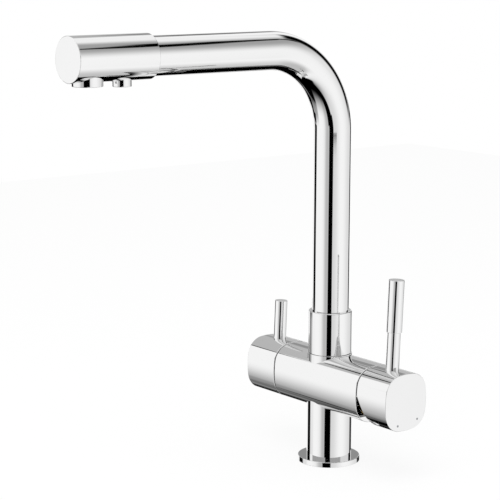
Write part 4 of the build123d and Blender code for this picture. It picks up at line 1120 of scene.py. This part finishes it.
@dataclass
class Spout:
    """Bent tube of the spout."""

    workshop: Workshop
    body: str = "swivel_spout"
    bend_radius: float = 62 * MM
    wall: float = 1.2 * MM
    ring_spacing: float = 1.5 * MM
    sides: int = 160

    def build(self) -> None:
        """Grow the tube along its line and give it its wall."""
        low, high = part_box("spout_tube")
        radius = high.x
        level = high.z - radius
        mesh = bpy.data.meshes.new("spout_line")
        mesh.from_pydata([(0, 0, low.z), (0, 0, level), (0, low.y, level)], [(0, 1), (1, 2)], [])
        tube = bpy.data.objects.new("bent_spout_tube", mesh)
        bpy.context.scene.collection.objects.link(tube)
        grow(tube, bent_tube_tree(), {
            "Tube radius": radius, "Bend radius": self.bend_radius, "Ring spacing": self.ring_spacing,
            "Sides": self.sides, "Material": self.workshop.material(CHROME)})
        wall = tube.modifiers.new("wall", "SOLIDIFY")
        wall.thickness, wall.offset = self.wall, -1.0
        self.workshop.hand_over(tube, self.body, "polished_chrome", "spout_tube")


@dataclass
class SpoutHead:
    """Sleeve with a closed tip, and its two outlets with their inserts."""

    workshop: Workshop
    body: str = "swivel_spout"
    soft_edge: float = 0.8 * MM
    edge: float = 0.4 * MM
    tip_wall: float = 2.2 * MM
    bore: float = 14.03 * MM
    recess: float = 0.6 * MM
    lip: float = 0.15 * MM

    def build(self) -> None:
        """Build and hand over the sleeve, the outlets and the inserts."""
        self.sleeve()
        self.outlet("main_outlet", "main_outlet_ring", bore=9.23 * MM, way=7 * MM, depth=8 * MM)
        self.outlet("filter_outlet", "filter_outlet_nozzle", bore=4.6 * MM, way=2 * MM, depth=5 * MM)
        sieve = sieve_tree()
        self.insert(sieve, "aerator", "main_outlet_sieve", hole=0.75 * MM, pitch=2.3 * MM,
                    field_radius=6.15 * MM, thickness=3.5 * MM)
        self.insert(sieve, "filter_outlet_insert", "filter_outlet_sieve", hole=0.85 * MM, pitch=2.6 * MM,
                    field_radius=2.9 * MM, thickness=5 * MM)

    def sleeve(self) -> None:
        """Turned sleeve along the spout, closed at the tip."""
        low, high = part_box("spout_head")
        radius = high.x
        start, tip = -high.y, -low.y
        place = Matrix.Translation((0, 0, high.z - radius)) @ Matrix.Rotation(math.pi / 2, 4, "X")
        skin = Skin()
        Lathe(skin, place).profile([
            (0, tip - self.tip_wall), (self.bore, tip - self.tip_wall), (self.bore, start),
            (radius, start, self.soft_edge), (radius, tip, self.edge), (0, tip)], closed=False)
        self.workshop.hand_over(skin.piece("head_sleeve"), self.body, "polished_chrome", "spout_head")

    def outlet(self, node: str, name: str, bore: float, way: float, depth: float) -> None:
        """Turned outlet that stands out of the sleeve's underside.

        Args:
            node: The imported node.
            name: The piece's name.
            bore: Radius of the insert's seat.
            way: Radius of the way behind it.
            depth: Length of the insert.
        """
        low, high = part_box(node)
        radius = (high.x - low.x) / 2
        seat = low.z + self.recess + depth
        skin = Skin()
        place = Matrix.Translation((0, (low.y + high.y) / 2, 0))
        Lathe(skin, place).profile([
            (bore, low.z, self.lip), (radius, low.z, self.edge), (radius, high.z), (way, high.z),
            (way, seat), (bore, seat)])
        self.workshop.hand_over(skin.piece(name), self.body, "polished_chrome", node)

    def insert(self, tree: Tree, node: str, name: str, hole: float, pitch: float,
               field_radius: float, thickness: float) -> None:
        """Round insert with a field of holes.

        Args:
            tree: The sieve's node tree.
            node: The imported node.
            name: The piece's name.
            hole: Radius of a hole.
            pitch: Distance between holes.
            field_radius: Radius of the field of holes.
            thickness: Depth of the drilled plate.
        """
        low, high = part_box(node)
        piece = bpy.data.objects.new(name, bpy.data.meshes.new(name))
        bpy.context.scene.collection.objects.link(piece)
        centre = Vector((0, (low.y + high.y) / 2, low.z + thickness / 2))
        grow(piece, tree, {
            "Plate radius": (high.x - low.x) / 2, "Thickness": thickness, "Hole radius": hole,
            "Pitch": pitch, "Field radius": field_radius, "Centre": centre,
            "Material": self.workshop.material(OUTLET_PLASTIC)})
        piece.data.shade_flat()
        self.workshop.hand_over(piece, self.body, "outlet_plastic", node)


@dataclass
class InnerPieces:
    """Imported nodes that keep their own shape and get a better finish."""

    workshop: Workshop
    nodes: dict[str, bpy.types.Object]
    subparts: list[dict]

    def dress(self) -> None:
        """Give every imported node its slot's finish."""
        for subpart in self.subparts:
            node, slot = subpart["node"], subpart["material_slot"]
            finish = BRASS_ACROSS if node in TURNED_ACROSS_NODES else FINISH_OF_SLOT[slot]
            for place in self.nodes[node].material_slots:
                place.material = self.workshop.material(finish)


# ---- Studio ----
@dataclass(frozen=True)
class Flag:
    """Soft-edged patch of the studio that polished metal mirrors.

    Directions are in degrees: azimuth 0 is -Y, 90 is +X, and elevation 90 is straight up.
    """

    azimuth: float
    elevation: float
    half_width: float
    half_height: float
    level: float
    soft: float = 3.0
    soft_height: float = 3.0
    tilt: float = 0.0


BACKGROUND_LEVEL = 1.0
FLAGS = (
    # wide fall-off towards the middle card
    Flag(45, -20, 40, 200, 0.74, soft=50),
    Flag(22, -20, 13, 200, 0.52, soft=22),
    # soft fall-off on the right
    Flag(180, -10, 32, 22, 0.78, soft=60, soft_height=10),
    # floor, fading in on the front and on the right
    Flag(-10, -148, 75, 100, 0.0, soft=60, soft_height=44),
    Flag(-52, -40, 12, 20, 0.40, soft=12, soft_height=20),
    Flag(-80, -45, 24, 23, 0.31, soft=12, soft_height=16),
    Flag(-66, -60, 24, 20, 0.0, soft=24, soft_height=18),
    Flag(150, -77, 40, 30, 0.55, soft=20, soft_height=26),
    # dark floor
    Flag(-88, -80, 30, 36.6, 0.0, soft=10, soft_height=2),
    Flag(-108, -37, 10, 9, 0.06, soft=6, soft_height=6),
    Flag(-100, -70, 60, 26, 0.0, soft=10, soft_height=4),
    Flag(-125, -44, 15, 17.5, 0.0, soft=8, soft_height=4),
    Flag(-146, -49, 33, 11.5, 0.0, soft=10, soft_height=5, tilt=31),
    Flag(16, -70, 30, 14, 0.0, soft=10, soft_height=16, tilt=30),
    Flag(40, -80, 32, 10, 0.0, soft=8, soft_height=6),
    Flag(-68.2, -38.1, 2.2, 1.5, 0.02, soft=1, soft_height=0.8),
    # grey ceiling
    Flag(-100, 32, 36.5, 28, 0.51, soft=3, soft_height=4),
    Flag(-131.5, 17.4, 4, 3, 0.29, soft=2, soft_height=1),
    Flag(-79, 17, 15, 6, 0.0, soft=6, soft_height=2),
    Flag(35, 13, 78, 6, 0.40, soft=8, soft_height=3),
    Flag(148, 45, 43, 24, 0.38, soft=24, soft_height=36),
    Flag(-152, 65, 36, 20, 0.95, soft=36, soft_height=4),
    Flag(-63, 31.2, 1.8, 1.2, 0.05, soft=1, soft_height=0.8),
    Flag(-76, 42.2, 3, 1.3, 0.0, soft=1.5, soft_height=0.8),
    # overhead battens
    Flag(143.5, 44.2, 9, 2.0, 0.0, soft=3, soft_height=1.5, tilt=25),
    Flag(155, 47.6, 6, 2.0, 0.0, soft=3, soft_height=1.5, tilt=6),
    Flag(165, 42.5, 10, 2.8, 0.0, soft=3, soft_height=3, tilt=-40),
    Flag(-171.5, 22, 15.5, 24, 0.0, soft=11, soft_height=8),
    Flag(-131, 26, 3, 4, 0.06, soft=2, soft_height=2),
    # grey behind the collar
    Flag(-74, -12.9, 14, 1.1, 0.50, soft=4, soft_height=0.6),
    Flag(-79, -12.9, 6, 1.1, 0.2, soft=6, soft_height=0.6),
    Flag(-150, -12.9, 20, 1.1, 0.36, soft=10, soft_height=0.6),
    # cards
    Flag(-147, -7, 21, 5.2, 0.0, soft=4, soft_height=0.6),
    Flag(-154, -18.3, 24, 4, 0.04, soft=6, soft_height=1),
    Flag(-73.5, -7, 13, 5.3, 0.0, soft=5, soft_height=0.6),
    Flag(-77.5, -19, 14.5, 5, 0.0, soft=5, soft_height=1),
    Flag(-88, -29, 13, 9, 0.0, soft=5, soft_height=3),
    Flag(44.3, -2, 12.8, 22, 0.0, soft=3, soft_height=2),
    Flag(58, -3.5, 19, 3, 0.0, soft=5, soft_height=1),
    Flag(39.5, -50, 13, 35.5, 0.0, soft=3, soft_height=2),
)


@dataclass
class Studio:
    """Pale floor, soft light, the surroundings that the chrome mirrors, and the camera."""

    azimuth: float = 51.82
    elevation: float = 10.22
    roll: float = 0.18
    distance: float = 1.3078
    aim_side: float = -61.4 * MM
    aim_height: float = 164.3 * MM
    lens: float = 124.04
    floor_half: float = 1.5
    floor_glow: float = 0.85
    diffuse_level: float = 0.9
    lamp_place: tuple[float, float, float] = (0.5, -0.7, 1.6)
    lamp_aim: tuple[float, float, float] = (0.0, 0.0, 0.1)
    lamp_size: float = 1.2
    lamp_power: float = 12.0

    def build(self) -> None:
        """Make the camera, the floor, the lamp and the world."""
        self.camera()
        self.floor()
        self.lamp()
        self.world()
        bpy.context.scene.view_settings.view_transform = "Standard"

    def camera(self) -> None:
        """Camera at the photograph's viewing angle."""
        turn, lift, roll = (math.radians(a) for a in (self.azimuth, self.elevation, self.roll))
        back = Vector((math.sin(turn) * math.cos(lift), -math.cos(turn) * math.cos(lift), math.sin(lift)))
        level = Vector((math.cos(turn), math.sin(turn), 0))
        upright = back.cross(level)
        right = level * math.cos(roll) + upright * math.sin(roll)
        up = upright * math.cos(roll) - level * math.sin(roll)
        aim = level * self.aim_side + Vector((0, 0, self.aim_height))
        data = bpy.data.cameras.new("camera")
        data.lens = self.lens
        camera = bpy.data.objects.new("camera", data)
        bpy.context.scene.collection.objects.link(camera)
        turned = Matrix((right, up, back)).transposed().to_4x4()
        camera.matrix_world = Matrix.Translation(aim + back * self.distance) @ turned
        bpy.context.scene.camera = camera

    def floor(self) -> None:
        """Pale floor that stays white for the camera but keeps a faint shadow."""
        half = self.floor_half
        mesh = bpy.data.meshes.new("floor")
        mesh.from_pydata([(-half, -half, 0), (half, -half, 0), (half, half, 0), (-half, half, 0)], [],
                         [(0, 1, 2, 3)])
        floor = bpy.data.objects.new("floor", mesh)
        bpy.context.scene.collection.objects.link(floor)
        material = bpy.data.materials.new("pale_paper")
        material.use_nodes = True
        tree = material.node_tree
        tree.nodes.clear()
        paper = add_node(tree, "ShaderNodeBsdfDiffuse", {"Color": linear("#F2F2F2")}).outputs[0]
        glow = add_node(tree, "ShaderNodeEmission", {"Color": linear("#FFFFFF"), "Strength": 1.0}).outputs[0]
        seen = add_node(tree, "ShaderNodeLightPath").outputs["Is Camera Ray"]
        mixed = add_node(tree, "ShaderNodeMixShader", {
            0: calc(tree, "MULTIPLY", seen, self.floor_glow), 1: paper, 2: glow}).outputs[0]
        add_node(tree, "ShaderNodeOutputMaterial", {"Surface": mixed})
        mesh.materials.append(material)
        floor.visible_glossy = False

    def lamp(self) -> None:
        """Large soft lamp overhead, which the metal doesn't mirror."""
        data = bpy.data.lights.new("soft_lamp", "AREA")
        data.shape = "DISK"
        data.size = self.lamp_size
        data.energy = self.lamp_power
        lamp = bpy.data.objects.new("soft_lamp", data)
        lamp.location = self.lamp_place
        back = Vector(self.lamp_place) - Vector(self.lamp_aim)
        lamp.rotation_euler = back.to_track_quat("Z", "Y").to_euler()
        lamp.visible_glossy = False
        bpy.context.scene.collection.objects.link(lamp)

    def world(self) -> None:
        """White surroundings for the camera, and the flags for polished metal."""
        world = bpy.data.worlds.new("studio")
        bpy.context.scene.world = world
        world.use_nodes = True
        tree = world.node_tree
        tree.nodes.clear()
        direction = add_node(tree, "ShaderNodeTexCoord").outputs["Generated"]
        parts = add_node(tree, "ShaderNodeSeparateXYZ", {0: direction})
        front = calc(tree, "MULTIPLY", parts.outputs["Y"], -1.0)
        turn = calc(tree, "DEGREES", calc(tree, "ARCTAN2", parts.outputs["X"], front))
        lift = calc(tree, "DEGREES", calc(tree, "ARCSINE", parts.outputs["Z"]))
        level = add_node(tree, "ShaderNodeValue").outputs[0]
        level.default_value = BACKGROUND_LEVEL
        for flag in FLAGS:
            level = self.hang(tree, flag, turn, lift, level)
        rays = add_node(tree, "ShaderNodeLightPath")
        soft = add_node(tree, "ShaderNodeMix", {
            0: rays.outputs["Is Glossy Ray"], 2: self.diffuse_level, 3: level}).outputs[0]
        seen = add_node(tree, "ShaderNodeMix", {
            0: rays.outputs["Is Camera Ray"], 2: soft, 3: 1.0}).outputs[0]
        glow = add_node(tree, "ShaderNodeBackground", {"Color": linear("#FFFFFF"), "Strength": seen})
        add_node(tree, "ShaderNodeOutputWorld", {"Surface": glow.outputs[0]})

    @staticmethod
    def hang(tree: Tree, flag: Flag, turn: Socket, lift: Socket, level: Socket) -> Socket:
        """Lay one flag over the surroundings.

        Args:
            tree: The world's tree.
            flag: The flag.
            turn: Azimuth of the direction.
            lift: Elevation of the direction.
            level: Brightness so far.

        Returns:
            The brightness with the flag.
        """
        around = calc(tree, "WRAP", calc(tree, "SUBTRACT", turn, flag.azimuth), 180.0, -180.0)
        above = calc(tree, "SUBTRACT", lift, flag.elevation)
        spot = add_node(tree, "ShaderNodeCombineXYZ", {0: around, 1: above}).outputs[0]
        turned = add_node(tree, "ShaderNodeVectorRotate", {
            "Vector": spot, "Angle": -math.radians(flag.tilt)}, rotation_type="Z_AXIS").outputs[0]
        offsets = add_node(tree, "ShaderNodeSeparateXYZ", {0: turned}).outputs
        masks = []
        for offset, half, soft in ((offsets[0], flag.half_width, flag.soft),
                                   (offsets[1], flag.half_height, flag.soft_height)):
            masks.append(add_node(tree, "ShaderNodeMapRange", {
                "Value": calc(tree, "ABSOLUTE", offset), "From Min": half - soft / 2,
                "From Max": half + soft / 2, "To Min": 1.0, "To Max": 0.0},
                interpolation_type="SMOOTHSTEP").outputs["Result"])
        mask = calc(tree, "MULTIPLY", *masks)
        return add_node(tree, "ShaderNodeMix", {0: mask, 2: level, 3: flag.level}).outputs[0]


def main() -> None:
    """Load the frame, build every sub-assembly round it and set up the studio."""
    logging.basicConfig(level=logging.INFO, format="%(message)s")
    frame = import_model()
    record = frame["record"]
    joints = {joint["name"]: joint for joint in frame["joints"]}
    pivot = joints["mixer_flow"]["pos_m"]
    low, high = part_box("valve_body")
    barrel = Barrel(Outline(high.y, span("mixer_handle", 2)[1] - pivot[2]), pivot[2])
    workshop = Workshop()
    InnerPieces(workshop, frame["nodes"], record["subparts"]).dress()
    holes = [mount for mount in record["mounts"] if mount["kind"] == "threaded_hole"]
    Base(workshop, barrel, holes).build()
    ValveBody(workshop, barrel).build()
    MixerControl(workshop, barrel, pivot[0]).build()
    FilterControl(workshop, barrel).build()
    SpoutFoot(workshop).build()
    Spout(workshop).build()
    SpoutHead(workshop).build()
    Studio().build()


if __name__ == "__main__":
    main()
